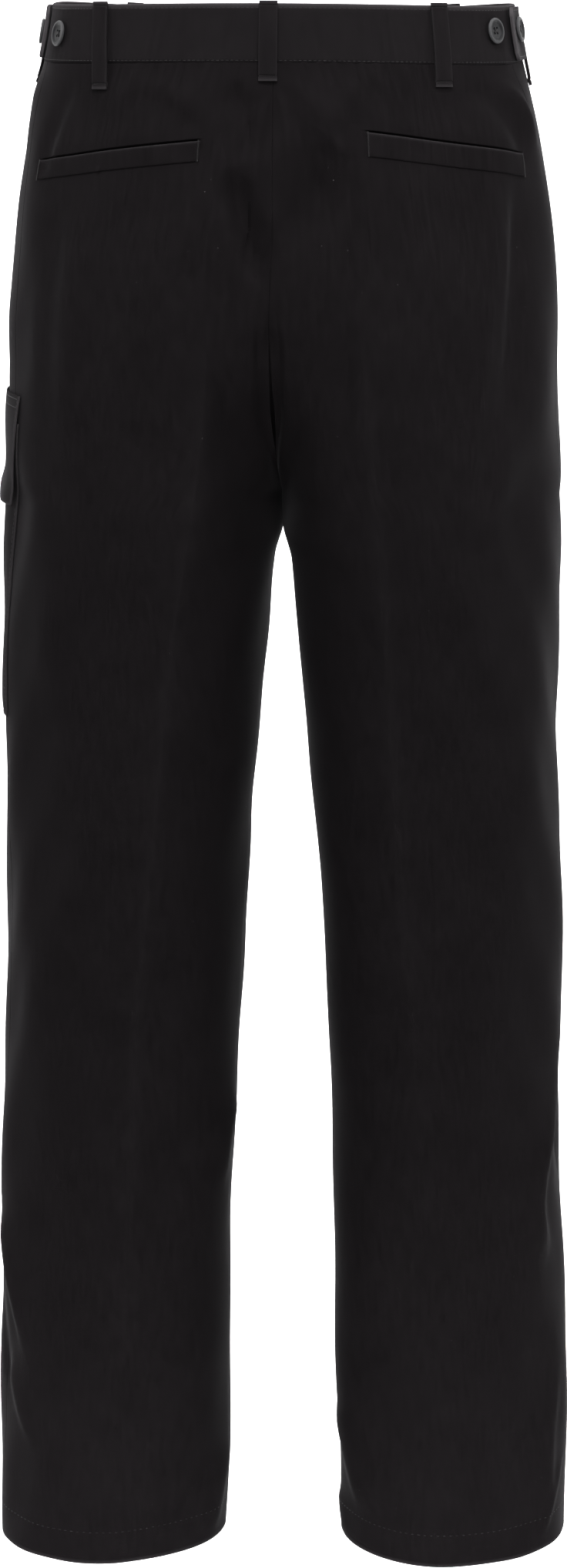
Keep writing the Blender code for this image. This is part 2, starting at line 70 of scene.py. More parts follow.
# Rings round the whole body, from centre back over the side to centre front
HIPS = table("level half_width back front square", [
    (0.020, 0.1535, 0.1100, 0.1040, 2.15),
    (0.000, 0.1550, 0.1115, 0.1050, 2.15),
    (-0.038, 0.1612, 0.1160, 0.1085, 2.20),
    (-0.060, 0.1675, 0.1205, 0.1105, 2.20),
    (-0.088, 0.1735, 0.1250, 0.1120, 2.20),
    (-0.145, 0.1817, 0.1310, 0.1130, 2.25),
    (-0.205, 0.1862, 0.1345, 0.1120, 2.30),
    (-0.310, 0.1888, 0.1290, 0.1070, 2.30),
    (-0.360, 0.1913, 0.1220, 0.1040, 2.25),
    (-0.450, 0.1917, 0.1090, 0.0985, 2.20),
])
# Rings round one leg, in millimetres: where they meet its sides, and how far they reach back and forward
LEGS = table("level outer inner back front middle", [
    (-80, 172.5, 0, 124, 110, 0),
    (-200, 186, 0, 129, 108, 0),
    (-310, 188.8, -0.3, 125, 104, 0),
    (-334, 190.3, -0.1, 121, 102.5, 0),
    (-360, 191.3, 6.4, 116.5, 101, 0),
    (-433, 191.6, 14, 106, 96.5, 1),
    (-507, 192, 19.6, 97.5, 91, 2),
    (-582, 193.6, 24.9, 90.5, 86, 3),
    (-657, 195.1, 29.9, 86, 82, 2),
    (-733, 196.7, 33.6, 82.5, 77.5, 0),
    (-811, 198.5, 36, 79.5, 74, -1),
    (-967, 202, 39.4, 76.5, 69.5, -1),
    (-1072.5, 203.7, 41.5, 77, 67, 0),
], unit=0.001)
# Turn of the side seams on each leg
SEAMS = table("level left right", [
    (0.000, 0.405, 0.405),
    (-0.040, 0.405, 0.410),
    (-0.085, 0.410, 0.450),
    (-0.130, 0.405, 0.485),
    (-0.250, 0.400, 0.490),
    (-0.400, 0.425, 0.490),
    (-1.0725, 0.440, 0.490),
])
# How far from the wearer's middle the pressed creases run, and how far they stand out, in millimetres
CREASES = table("level left right front left_ridge right_ridge front_ridge", [
    (0, 45, 50, 85, 0, 0, 0),
    (-85, 39.5, 51, 85.5, 0, 0, 0),
    (-120, 38, 53, 86, 2, 1.2, 1),
    (-190, 39, 60, 87, 5.5, 4, 2),
    (-280, 49.5, 72, 88, 7.8, 5.8, 2.5),
    (-400, 68, 79, 92, 7.8, 6, 3.5),
    (-500, 79, 84.5, 96, 7.2, 5.6, 4.5),
    (-680, 94.6, 97.5, 103, 6.6, 5.4, 4.5),
    (-910, 105, 108, 112, 4.2, 1, 4),
    (-1072.5, 113, 115, 118, 1.2, 0.5, 3.5),
], unit=0.001)
# Folds, in millimetres and thousandths of a turn: level and turn at three places along each, its half
# width on the side of less turn and of more turn, and its height, below nought for a trough
LEFT_FOLDS = (
    # seat and thigh, from the back
    (-96, 44, -126, 26, -164, 1, 14, 5.2, -10),
    (-46, 42, -70, 27, -98, 14, 6, 8, -3.4),
    (-95, 20, -112, 10, -128, 2, 6, 6, 3),
    (-122, 40, -210, 36, -300, 50, 19, 13, -8.8),
    (-150, 1, -185, 0, -230, 0, 6, 6, -3),
    (-150, 1, -250, 1, -350, 1, 5.2, 5.2, -5.6),
    (-120, 160, -190, 110, -300, 95, 16, 24, 4.5),
    (-52, 182, -64, 122, -80, 68, 6, 11, -3.4),
    (-47, 205, -60, 145, -78, 95, 14, 8, 1.6),
    (-96, 207, -104, 207, -120, 205, 1.4, 2.4, 1.2),
    (-125, 185, -135, 190, -150, 188, 2, 4, -1),
    (-45, 290, -75, 315, -105, 345, 8, 12, -3),
    (-60, 290, -78, 300, -100, 310, 6, 8, 1.4),
    (-115, 290, -170, 280, -250, 290, 12, 14, -2.6),
    (-130, 250, -200, 240, -290, 260, 12, 12, 2.4),
    (-90, 450, -155, 455, -225, 460, 30, 30, 2.4),
    (-300, 40, -360, 70, -420, 110, 16, 20, -1.4),
    (-330, 215, -400, 225, -480, 215, 20, 24, -3.6),
    (-330, 530, -415, 530, -480, 530, 30, 50, -3.4),
    # lower leg
    (-825, 450, -868, 399, -925, 335, 18, 8, 3.4),
    (-935, 420, -960, 370, -990, 305, 16, 8, 2.6),
    (-880, 470, -925, 440, -955, 420, 12, 10, -2),
    (-740, 6, -772, 27, -810, 33, 5, 14, 2.6),
    (-745, 50, -795, 85, -860, 110, 14, 18, -1.8),
    (-1005, 3, -1037, 23, -1070, 36, 5, 12, 3),
    # the hidden front
    (-230, 940, -280, 860, -340, 780, 16, 16, -6),
    (-180, 955, -215, 880, -250, 800, 8, 12, -3.4),
    (-600, 690, -640, 780, -690, 860, 14, 20, -3.4),
    (-740, 600, -800, 680, -860, 760, 20, 20, -5.5),
    (-930, 620, -970, 700, -1020, 780, 12, 16, -4),
    (-890, 960, -940, 900, -1000, 850, 10, 14, -3.6),
)
RIGHT_FOLDS = (
    # seat and thigh, from the back
    (-85, 60, -150, 36, -260, 15, 15, 15, -6),
    (-80, 62, -102, 38, -146, 4, 12, 11, -6.6),
    (-85, 88, -170, 79, -290, 88, 30, 7, -6.6),
    (-160, 0, -250, 0, -350, 0, 4, 4, -5.6),
    (-46, 23, -62, 42, -80, 72, 7, 9, 2.4),
    (-48, 4, -66, 22, -84, 40, 5, 6, -1.2),
    (-46, 130, -60, 105, -84, 84, 6, 11, -3.2),
    (-110, 185, -200, 125, -290, 90, 18, 20, 4),
    (-90, 330, -200, 305, -330, 300, 13, 13, 3),
    (-100, 302, -190, 272, -340, 232, 10, 3, 3.6),
    (-104, 345, -180, 325, -300, 278, 10, 16, -5),
    (-94, 240, -104, 241, -122, 245, 1.4, 2.6, 1.2),
    (-98, 303, -120, 298, -160, 285, 1.6, 2.6, 1),
    (-46, 310, -58, 385, -88, 452, 8, 5, 3.4),
    (-48, 270, -66, 340, -96, 400, 8, 12, -3.4),
    (-300, 60, -370, 95, -430, 120, 16, 20, -1.2),
    (-420, 490, -560, 490, -690, 490, 50, 50, -1),
    # lower leg
    (-725, 480, -800, 375, -850, 415, 18, 8, 4.6),
    (-700, 500, -750, 490, -800, 470, 12, 16, -3),
    (-742, 150, -768, 185, -792, 225, 6, 11, -2.4),
    (-700, 142, -745, 160, -780, 172, 3, 6, -1.2),
    (-970, 16, -1005, 36, -1045, 62, 5, 14, 2.8),
    (-1040, 6, -1055, 14, -1072, 30, 4, 8, 2.2),
    (-930, 430, -1000, 405, -1040, 405, 16, 7, 2.2),
    (-1010, 460, -1040, 408, -1064, 372, 6, 5, 1.8),
    # the hidden front
    (-230, 940, -280, 860, -340, 780, 16, 16, -6),
    (-150, 950, -190, 880, -220, 810, 8, 12, -3.4),
    (-570, 720, -620, 790, -660, 880, 14, 20, -3.4),
    (-780, 600, -840, 670, -900, 740, 20, 20, -5.5),
    (-950, 640, -990, 710, -1030, 800, 12, 16, -4),
    (-860, 970, -920, 910, -970, 860, 10, 14, -3.6),
)
FOLDS = {"left": LEFT_FOLDS, "right": RIGHT_FOLDS}
# Slow waves in the cloth: length round the leg, length down it, where they start, and their height
WAVES = (
    (0.190, 0.420, 0.4, 0.0013),
    (0.115, -0.260, 2.1, 0.0010),
    (0.070, 0.140, 4.0, 0.0005),
)


def curve(rows, column, level):
    """A column of a table at any level, on a smooth curve through its rows that never overshoots."""
    knots = rows["level"]
    values = rows[column]
    steps = np.diff(knots)
    slopes = np.diff(values) / steps
    tangents = np.concatenate([slopes[:1], np.zeros(len(slopes) - 1), slopes[-1:]])
    before, after = slopes[:-1], slopes[1:]
    same_way = before * after > 0
    tangents[1:-1][same_way] = (2 * before * after)[same_way] / (before + after)[same_way]
    place = np.clip(np.searchsorted(knots, level) - 1, 0, len(steps) - 1)
    t = np.clip((level - knots[place]) / steps[place], 0, 1)
    rise = steps[place] * (tangents[place] * t * (1 - t) ** 2 - tangents[place + 1] * t**2 * (1 - t))
    return values[place] + (values[place + 1] - values[place]) * (3 - 2 * t) * t**2 + rise


def smooth_step(value):
    value = np.clip(value, 0, 1)
    return value * value * (3 - 2 * value)


def hump(distance, width):
    """1 at a place, falling to nought over about twice the width."""
    return np.exp(-((distance / width) ** 2))


def parted(level, turn):
    """0 where the cloth lies round the hips, 1 where it lies round a leg, with a rounded crotch seam."""
    starts = -0.125 - 0.040 * smooth_step(turn)
    reached = np.clip((starts - level) / (starts - FORK_LEVEL), 0, 1)
    at_seam = 1 - (1 - reached**2) ** 0.62
    at_side = smooth_step((-0.120 - level) / 0.300)
    return at_seam + (at_side - at_seam) * smooth_step(np.minimum(turn, 1 - turn) / 0.22)


def plain_form(level, turn):
    """The right leg's form without creases and folds."""
    angle = math.pi * (turn - 0.5)
    power = 2 / curve(HIPS, "square", level)
    depth = np.where(angle < 0, curve(HIPS, "back", level), curve(HIPS, "front", level))
    hip_x = curve(HIPS, "half_width", level) * np.clip(np.cos(angle), 0, 1) ** power
    hip_y = depth * np.sign(angle) * np.abs(np.sin(angle)) ** power
    in_front = turn > 0.5
    from_inseam = 2 * np.where(in_front, 1 - turn, turn)
    angle = math.pi * (from_inseam + 1.1 * from_inseam * (1 - from_inseam) ** 2)
    outer, inner = curve(LEGS, "outer", level), curve(LEGS, "inner", level)
    depth = np.where(in_front, curve(LEGS, "front", level), -curve(LEGS, "back", level))
    leg_x = (outer + inner) / 2 - (outer - inner) / 2 * np.cos(angle)
    leg_y = curve(LEGS, "middle", level) + depth * np.sin(angle)
    share = parted(level, turn)
    ends = np.where(turn < 0.5, 0.021, 0.006)
    rise = ends + (0.016 - ends) * smooth_step(1 - 2 * np.abs(turn - 0.5))
    fade = smooth_step((level + 0.160) / 0.120)
    x = SEAM_GAP / 2 + hip_x + (leg_x - hip_x) * share
    return np.stack([x, hip_y + (leg_y - hip_y) * share, level + rise * fade], axis=-1)


# Rings of the form close together, to read the girth and the turns of the creases from
ring_levels = np.linspace(HEM_LEVEL - 0.01, 0.03, 280)
ring_turns = np.linspace(0, 1, 161)
rings = plain_form(ring_levels[:, None] + 0 * ring_turns, ring_turns + 0 * ring_levels[:, None])
ring_girths = np.linalg.norm(np.diff(rings, axis=1), axis=-1).sum(axis=1)


def girth(level):
    """Metres of cloth for one whole turn."""
    return np.interp(level, ring_levels, ring_girths)


def crease_turn(column, level):
    """The turn at which a pressed crease runs."""
    half = slice(160, 79, -1) if column == "front" else slice(0, 81)
    places = curve(CREASES, column, ring_levels)
    at_rings = [np.interp(place, ring[half, 0], ring_turns[half]) for place, ring in zip(places, rings)]
    return np.interp(level, ring_levels, at_rings)


# The slanting mouth of each hip pocket: level and turn at its inner and its outer end, and the height
# of the welt that closes it
MOUTHS = {
    "left": ((-0.082, 0.074), (-0.095, 0.351), 0.0105),
    "right": ((-0.077, 0.108), (-0.090, 0.385), 0.0125),
}
MOUTH_DEPTH = 0.0022


def mouth_level(leg, turn):
    """The level of the pocket mouth's line at a turn."""
    (inner_level, inner_turn), (outer_level, outer_turn), _ = MOUTHS[leg]
    share = np.clip((turn - inner_turn) / (outer_turn - inner_turn), -0.25, 1.25)
    return inner_level + (outer_level - inner_level) * share


def fold_height(fold, level, turn):
    """How high one fold lifts the cloth at each place."""
    *places, before, after, height = np.array(fold) / 1000
    scale = girth(places[2])
    ends = np.reshape(places, (3, 2))[:, ::-1] * (scale, 1)
    bend = 2 * ends[1] - (ends[0] + ends[2]) / 2
    t = np.linspace(0, 1, 13)[:, None]
    path = (1 - t) ** 2 * ends[0] + 2 * t * (1 - t) * bend + t**2 * ends[2]
    away = 3 * max(before, after)
    near = (turn * scale > path[:, 0].min() - away) & (turn * scale < path[:, 0].max() + away)
    near &= (level > path[:, 1].min() - away) & (level < path[:, 1].max() + away)
    out = np.zeros(np.shape(level))
    if not near.any():
        return out
    here = np.stack([turn[near] * scale, level[near]], axis=-1)
    nearest = np.full(len(here), 9.0)
    side = np.zeros(len(here))
    along = np.zeros(len(here))
    for number, (start, end) in enumerate(zip(path, path[1:])):
        run = end - start
        share = np.clip(((here - start) @ run) / (run @ run), 0, 1)
        off = here - start - share[:, None] * run
        distance = np.linalg.norm(off, axis=1)
        closer = distance < nearest
        nearest = np.where(closer, distance, nearest)
        side = np.where(closer, run[0] * off[:, 1] - run[1] * off[:, 0], side)
        along = np.where(closer, (number + share) / (len(path) - 1), along)
    width = np.where(side < 0, before, after)
    taper = smooth_step(3 * np.minimum(along, 1 - along) + 0.2)
    out[near] = height * taper * hump(nearest, width)
    return out


def free_relief(leg, level, turn):
    """How far creases, folds and waves lift the cloth, as if no seam held it."""
    level, turn = np.broadcast_arrays(level, turn)
    round_once = girth(level)
    out = np.zeros(level.shape)
    for column in (leg, "front"):
        away = np.abs(turn - crease_turn(column, level)) * round_once
        away = np.sqrt(away**2 + CREASE_EDGE**2) - CREASE_EDGE
        out += curve(CREASES, column + "_ridge", level) * np.exp(-away / CREASE_SPREAD)
    for fold in FOLDS[leg]:
        out += fold_height(fold, level, turn)
    own_start = 0.0 if leg == "left" else 1.7
    for round_length, down_length, start, height in WAVES:
        turns = turn * round_once / round_length + level / down_length
        out += height * np.sin(math.tau * turns + start + own_start)
    return out * smooth_step((-0.041 - level) / 0.022)


# What the seams share: at the centre both legs, and at the inseam the back and the front of one leg
free = {(leg, end): free_relief(leg, ring_levels, end) for leg in SIDES for end in (0.0, 1.0)}
at_centre = {end: (free["left", end] + free["right", end]) / 2 for end in (0.0, 1.0)}
at_inseam = {leg: (free[leg, 0.0] + free[leg, 1.0]) / 2 for leg in SIDES}
SEAM_HOLD = 0.007  # how far a seam draws the cloth beside it


def relief(leg, level, turn):
    """How far the cloth stands out from the plain form at each place."""
    level, turn = np.broadcast_arrays(level, turn)
    round_once = girth(level)
    out = free_relief(leg, level, turn)
    for end in (0.0, 1.0):
        shared = at_centre[end] * smooth_step((ring_levels + 0.305) / 0.060)
        shared = shared + at_inseam[leg] * smooth_step((-0.345 - ring_levels) / 0.050)
        drawn = np.interp(level, ring_levels, shared - free[leg, end])
        out = out + drawn * hump(np.abs(turn - end) * round_once, SEAM_HOLD)
    above = level - mouth_level(leg, turn)
    across = np.minimum(turn - MOUTHS[leg][0][1], MOUTHS[leg][1][1] - turn) * round_once
    in_mouth = smooth_step(across / 0.0012) * smooth_step((0.0013 - above) / 0.0006)
    in_mouth *= smooth_step((above + 0.0040) / 0.0010)
    swell = 0.0007 * smooth_step(across / 0.010) * hump(above - 0.006, 0.006)
    return out + np.where(turn < 0.5, swell * (above > 0) - MOUTH_DEPTH * in_mouth, 0)


LEG_TWIST = 0.065  # the right leg hangs a little forward of the left one
SEAT_SEAM_SHIFT = 0.0035  # the centre back seam sits a little to the wearer's right over the seat


def ahead(level, turn, step):
    """From a step of turn behind each place to a step ahead of it."""
    return plain_form(level, np.minimum(turn + step, 1)) - plain_form(level, np.maximum(turn - step, 0))


def on_cloth(leg, level, turn, lift=0.0):
    """Places on the cloth, a lift off it, on their own leg; and the way that they face."""
    level, turn, lift = np.broadcast_arrays(*(np.asarray(given, float) for given in (level, turn, lift)))
    step = 0.002
    up = plain_form(level + step, turn) - plain_form(level - step, turn)
    out = np.cross(ahead(level, turn, step), up)
    out /= np.linalg.norm(out, axis=-1, keepdims=True)
    place = plain_form(level, turn) + out * (relief(leg, level, turn) + lift)[..., None]
    if leg == "left":
        place, out = place * (-1, 1, 1), out * (-1, 1, 1)
    place[..., 1] += LEG_TWIST * place[..., 0] * smooth_step((-0.250 - place[..., 2]) / 0.350)
    at_seam = smooth_step((place[..., 2] + 0.200) / 0.080) * hump(place[..., 0], 0.055)
    place[..., 0] += SEAT_SEAM_SHIFT * at_seam * smooth_step(place[..., 1] / -0.050)
    return place, out


def pace(level, turn):
    """Metres of cloth for one whole turn, at the pace that the cloth goes round at one place."""
    step = 0.01
    return np.linalg.norm(ahead(np.asarray(level, float), np.asarray(turn, float), step), axis=-1) / (2 * step)


class Wire:
    """A socket of a material being wired: node() adds a node, and sums on sockets add Math nodes."""

    def __init__(self, tree, socket=None):
        self.tree = tree
        self.socket = socket

    def feed(self, node, values):
        """Set a node's sockets, or link them to other sockets."""
        for name, value in values.items():
            if isinstance(value, Wire):
                self.tree.links.new(value.socket, node.inputs[name])
            else:
                node.inputs[name].default_value = value

    def shade(self, values):
        """Feed the material's own shader."""
        self.feed(self.tree.nodes["Principled BSDF"], values)

    def node(self, kind, settings={}, values={}, output=0):
        made = self.tree.nodes.new(kind)
        for name, setting in settings.items():
            setattr(made, name, setting)
        self.feed(made, values)
        return Wire(self.tree, made.outputs[output])

    def noise(self, vector, scale, detail=2.0):
        return self.node("ShaderNodeTexNoise", {}, {"Vector": vector, "Scale": scale, "Detail": detail})

    def place(self):
        """Where a point is on its own object."""
        return self.node("ShaderNodeTexCoord", output=3)

    def bump(self, height, strength, distance):
        return self.node("ShaderNodeBump", {}, {"Height": height, "Strength": strength, "Distance": distance})

    def blend(self, share, first, second):
        """A colour between two others."""
        return self.node("ShaderNodeMix", {"data_type": "RGBA"}, {0: share, 6: first, 7: second}, output=2)

    def math(self, operation, *values, clamp=False):
        settings = {"operation": operation, "use_clamp": clamp}
        return self.node("ShaderNodeMath", settings, dict(enumerate(values)))

    def __add__(self, other):
        return self.math("ADD", self, other)

    def __mul__(self, other):
        return self.math("MULTIPLY", self, other)

    def __sub__(self, other):
        return self.math("SUBTRACT", self, other)

    def __rsub__(self, other):
        return self.math("SUBTRACT", other, self)

    __radd__ = __add__
    __rmul__ = __mul__


def new_material(name):
    material = bpy.data.materials.new(name)
    material.use_nodes = True
    return material, Wire(material.node_tree)


# The twill: steep fine lines, slubs along the warp, a little lint, and a paler colour that paints highlight and
# sheen on folds, creases and edges, with some wear
TWILL_DARK = (0.0012, 0.0010, 0.0011, 1)
TWILL_LIGHT = (0.0054, 0.0047, 0.0051, 1)
# paler colour for painted highlight and painted sheen where the cloth catches the light, and for some wear
TWILL_WEAR_AND_HIGHLIGHT = (0.0280, 0.0260, 0.0275, 1)
TWILL_LINT = (0.0500, 0.0470, 0.0500, 1)
TWILL_PITCH = 0.00062
YARN_NOISE = ((900, 30, 2.0), (45, 1100, 1.0), (330, 60, 3.0))  # across, down and detail
twill, wire = new_material("cotton_twill")
cloth_map = wire.node("ShaderNodeUVMap", {"uv_map": "cloth"})
round_way = wire.node("ShaderNodeSeparateXYZ", {}, {0: cloth_map})
down_way = Wire(wire.tree, round_way.socket.node.outputs[1])
line = (round_way * 1.7 + down_way) * (math.tau / TWILL_PITCH / 2)
ridge = wire.math("SINE", line) * 0.5 + 0.5
stretched = [
    wire.node("ShaderNodeVectorMath", {"operation": "MULTIPLY"}, {0: cloth_map, 1: (across, down, 1)})
    for across, down, _ in YARN_NOISE
]
slub, pick, streak = (wire.noise(own, 1.0, detail) for own, (*_, detail) in zip(stretched, YARN_NOISE))
cloud = wire.noise(wire.place(), 30.0, 4.0)
lint_cell = wire.node("ShaderNodeTexVoronoi", {}, {"Vector": cloth_map, "Scale": 150.0})
lint = wire.math("MULTIPLY", 0.050 - lint_cell, 40, clamp=True)
lint = lint * wire.math("MULTIPLY", wire.noise(cloth_map, 60.0) - 0.52, 8, clamp=True)
tone = ridge * 0.20 + slub * 0.25 + pick * 0.10 + streak * 0.45 + cloud * 0.30 - 0.195
tone = wire.math("ADD", tone, 0.0, clamp=True)
wear_and_highlight = wire.node("ShaderNodeAttribute", {"attribute_name": "wear_and_highlight"}, output=2)
colour = wire.blend(tone, TWILL_DARK, TWILL_LIGHT)
# mixes in the paler colour where the piece asks: painted highlight and painted sheen, with some wear
colour = wire.blend(wear_and_highlight * 0.8, colour, TWILL_WEAR_AND_HIGHLIGHT)
colour = wire.blend(lint * 0.7, colour, TWILL_LINT)
height = ridge * 0.6 + slub * 0.5 + pick * 0.4
bump = wire.bump(height, 0.35, 0.00015)
wire.shade({"Base Color": colour, "Roughness": slub * 0.10 + 0.72, "Normal": bump})
wire.shade({"Specular IOR Level": 0.005, "Sheen Weight": 0.016, "Sheen Roughness": 0.30})
wire.shade({"Sheen Tint": (0.90, 0.88, 0.92, 1)})


def add_object(name, data):
    made = bpy.data.objects.new(name, data)
    bpy.context.scene.collection.objects.link(made)
    return made


def to_mesh(shape, name):
    mesh = bpy.data.meshes.new(name)
    shape.to_mesh(mesh)
    shape.free()
    return mesh


def set_attribute(mesh, name, values):
    values = values.astype(np.float32).ravel()
    mesh.attributes.new(name, "FLOAT", "POINT").data.foreach_set("value", values)


def cloth_piece(node, leg, places, flat_places, wall, wear_and_highlight=None, edge=None, finish=(twill, "twill"), **cut):
    """The cloth of a CAD node: a sheet through a grid of places, top row first, with its wall inside.
    """
    rows, columns = places.shape[:2]
    grid = bmesh.new()
    grid.loops.layers.uv.new("cloth")
    bmesh.ops.create_grid(grid, x_segments=columns - 1, y_segments=rows - 1, size=0.5, calc_uvs=True)
    mesh = to_mesh(grid, node + "_cloth")
    mesh.vertices.foreach_set("co", places[::-1].astype(np.float32).ravel())
    corners = np.zeros(len(mesh.loops), np.int32)
    mesh.loops.foreach_get("vertex_index", corners)
    flat = [np.broadcast_to(values, (rows, columns))[::-1].ravel()[corners] for values in flat_places]
    mesh.uv_layers["cloth"].data.foreach_set("uv", np.stack(flat, axis=-1).astype(np.float32).ravel())
    if wear_and_highlight is not None:
        set_attribute(mesh, "wear_and_highlight", np.broadcast_to(wear_and_highlight, (rows, columns))[::-1])
    if leg == "left":
        mesh.flip_normals()
    mesh.shade_smooth()
    mesh.materials.append(finish[0])
    made = add_object(node + "_cloth", mesh)
    thick = made.modifiers.new("wall", "SOLIDIFY")
    thick.thickness = wall
    thick.offset = -1
    thick.use_even_offset = True
    if edge:
        rounded = made.modifiers.new("edge", "BEVEL")
        rounded.width, rounded.segments = edge
        rounded.profile = 0.5
        rounded.limit_method = "ANGLE"
        rounded.angle_limit = math.radians(50)
    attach(made, "root")
    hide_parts(node)


def steps(start, *bands):
    """Numbers from start on, each band (end, step) in steps of about its own size."""
    runs = [np.array([start])]
    for end, step in bands:
        count = max(1, round(abs(end - start) / step))
        runs.append(np.linspace(start, end, count + 1)[1:])
        start = end
    return np.concatenate(runs)


def distances(*coordinates):
    """How far each point of a line is from its first one, along it."""
    return np.concatenate([[0], np.cumsum(np.sqrt(sum(np.diff(values) ** 2 for values in coordinates)))])


# How the cloth turns over an edge: how far it keeps from the edge, and how far in it lies, in rounds
turn_over = np.linspace(0, math.pi, 8)
over_off = 1 - np.sin(turn_over)
over_in = 1 - np.cos(turn_over)
BAND_SEAM = -WAISTBAND_HEIGHT
FINE_AT_BAND = ((-0.0360, 0.0012), (-0.0410, 0.0004))
FINE_AT_MOUTHS = ((-0.0760, 0.0030), (-0.0848, 0.00032), (-0.1000, 0.0018), (-0.2000, 0.0020))
TO_HEM = ((HEM_LEVEL + 0.030, 0.0036), (HEM_LEVEL + HEM_ROUND, 0.0024))
PANEL_ROWS = {
    "back": (*FINE_AT_BAND, *FINE_AT_MOUTHS, (-0.3400, 0.0032), *TO_HEM),
    "front": (*FINE_AT_BAND, (-0.3400, 0.0034), *TO_HEM),
}
PANEL_CUT = {"back": (0.40, 1.14), "front": (0.36, 1.13)}
PANEL_AREA = {"back": 0.345, "front": 0.300}
CREASE_SHINE = 0.026
HEM_SHINE = 0.90
SHINE_ENDS = {"left": 0.98, "right": 0.80}  # how far below the waist the back crease stops shining


def eased(count):
    """Shares from 0 to 1 that lie closer together at both ends."""
    share = np.linspace(0, 1, count + 1)
    return 0.3 * share + 0.7 * smooth_step(share)


def panel(leg, part):
    """A back or front panel, with its seams pressed open and its hem turned up."""
    back = part == "back"
    main = steps(BAND_SEAM + 0.008, *PANEL_ROWS[part])
    tucked = 0.0006 * smooth_step((main - BAND_SEAM + 0.0001) / 0.0008)
    hem_up = steps(HEM_LEVEL + HEM_ROUND, (HEM_LEVEL + HEM_TURN_UP, 0.003))[1:]
    level = np.concatenate([main, HEM_LEVEL + HEM_ROUND * over_off[1:], hem_up])[:, None]
    row_in = np.concatenate([tucked, HEM_ROUND * over_in[1:], 2 * HEM_ROUND + 0 * hem_up])[:, None]
    down = distances(level[:, 0], row_in[:, 0])[:, None]
    centre, to_side = (0.0, 1) if back else (1.0, -1)
    crease = crease_turn(leg if back else "front", level)
    side = curve(SEAMS, leg, level)
    round_once = girth(level)
    allowance = np.array([SEAM_ALLOWANCE, 0.008, 0.004])
    edge_off = np.concatenate([allowance, SEAM_ROUND * over_off[:0:-1]])
    edge_in = np.concatenate([2 * SEAM_ROUND + 0 * allowance, SEAM_ROUND * over_in[:0:-1]])
    first = centre + to_side * (SEAM_GAP / 2 + SEAM_ROUND) / round_once
    last = side - to_side * (SEAM_GAP / 2 + SEAM_ROUND) / round_once
    at_centre_seam = centre + to_side * (SEAM_GAP / 2 + edge_off) / round_once
    at_side_seam = side - to_side * (SEAM_GAP / 2 + edge_off[::-1]) / round_once
    to_crease = first + (crease - first) * eased(44)
    from_crease = crease + (last - crease) * eased(44)[1:]
    turn = np.concatenate([at_centre_seam, to_crease, from_crease, at_side_seam], axis=1)
    column_in = np.concatenate([edge_in, np.zeros(89), edge_in[::-1]])
    if back:
        # the rows of the grid slant with the pocket mouth, and are level again at the side seam
        near_mouth = smooth_step((0.062 - np.abs(level + 0.090)) / 0.048)
        near_mouth = near_mouth * smooth_step((side - turn) / (side - MOUTHS[leg][1][1]))
        level = level + (mouth_level(leg, turn) + 0.082) * near_mouth
    level = np.broadcast_to(level, turn.shape)
    places = on_cloth(leg, level, turn, -row_in - column_in)[0]
    # both legs' edges are drawn together along the centre seam, down to the fork
    middle = sum(on_cloth(name, level[:, 0], centre)[0][:, :1] for name in SIDES) / 2
    from_middle = places[..., 0] - middle
    opening = np.abs(from_middle[:, :12]).min(axis=1, keepdims=True)
    drawn = smooth_step((level + 0.318) / 0.012) * hump(from_middle, CENTRE_HOLD)
    places[..., 0] -= np.sign(from_middle) * opening * drawn
    # Paler colour is painted along each pressed crease, a painted sheen, and round the hem's fold, a painted
    # highlight.
    painted_shine = hump(np.abs(turn - crease) * round_once, 0.0045) * smooth_step((-0.16 - level) / 0.10)
    if back:
        painted_shine = painted_shine * smooth_step((level + SHINE_ENDS[leg]) / 0.30)
    at_fold = hump(np.abs(down - down[len(main) + 3]), 0.0016)
    painted_shine = np.maximum(CREASE_SHINE * painted_shine, HEM_SHINE * at_fold)
    cloth_piece(
        f"{part}_{leg}",
        leg,
        places[:, ::to_side],
        (((turn - 0.25) * round_once)[:, ::to_side], -down),
        CLOTH_WALL,
        painted_shine[:, ::to_side],
        flat=PANEL_CUT[part],
        area=PANEL_AREA[part],
        held="hung",
        rests_on=[f"waistband_{leg}"],
    )


for leg in SIDES:
    for part in PANEL_CUT:
        panel(leg, part)


# ---- Waistband ----
# Two halves of the same twill, each folded over a stiff interfacing along its top edge and sewn to the
# legs all round, with a row of lockstitch just inside both edges.

BAND_PROUD = 0.0002
BAND_ROUND = 0.0014
BAND_CUT = (0.435, 0.080)
BAND_MIDDLE = -0.02
BAND_STITCHES = (-0.0030, -0.0366)


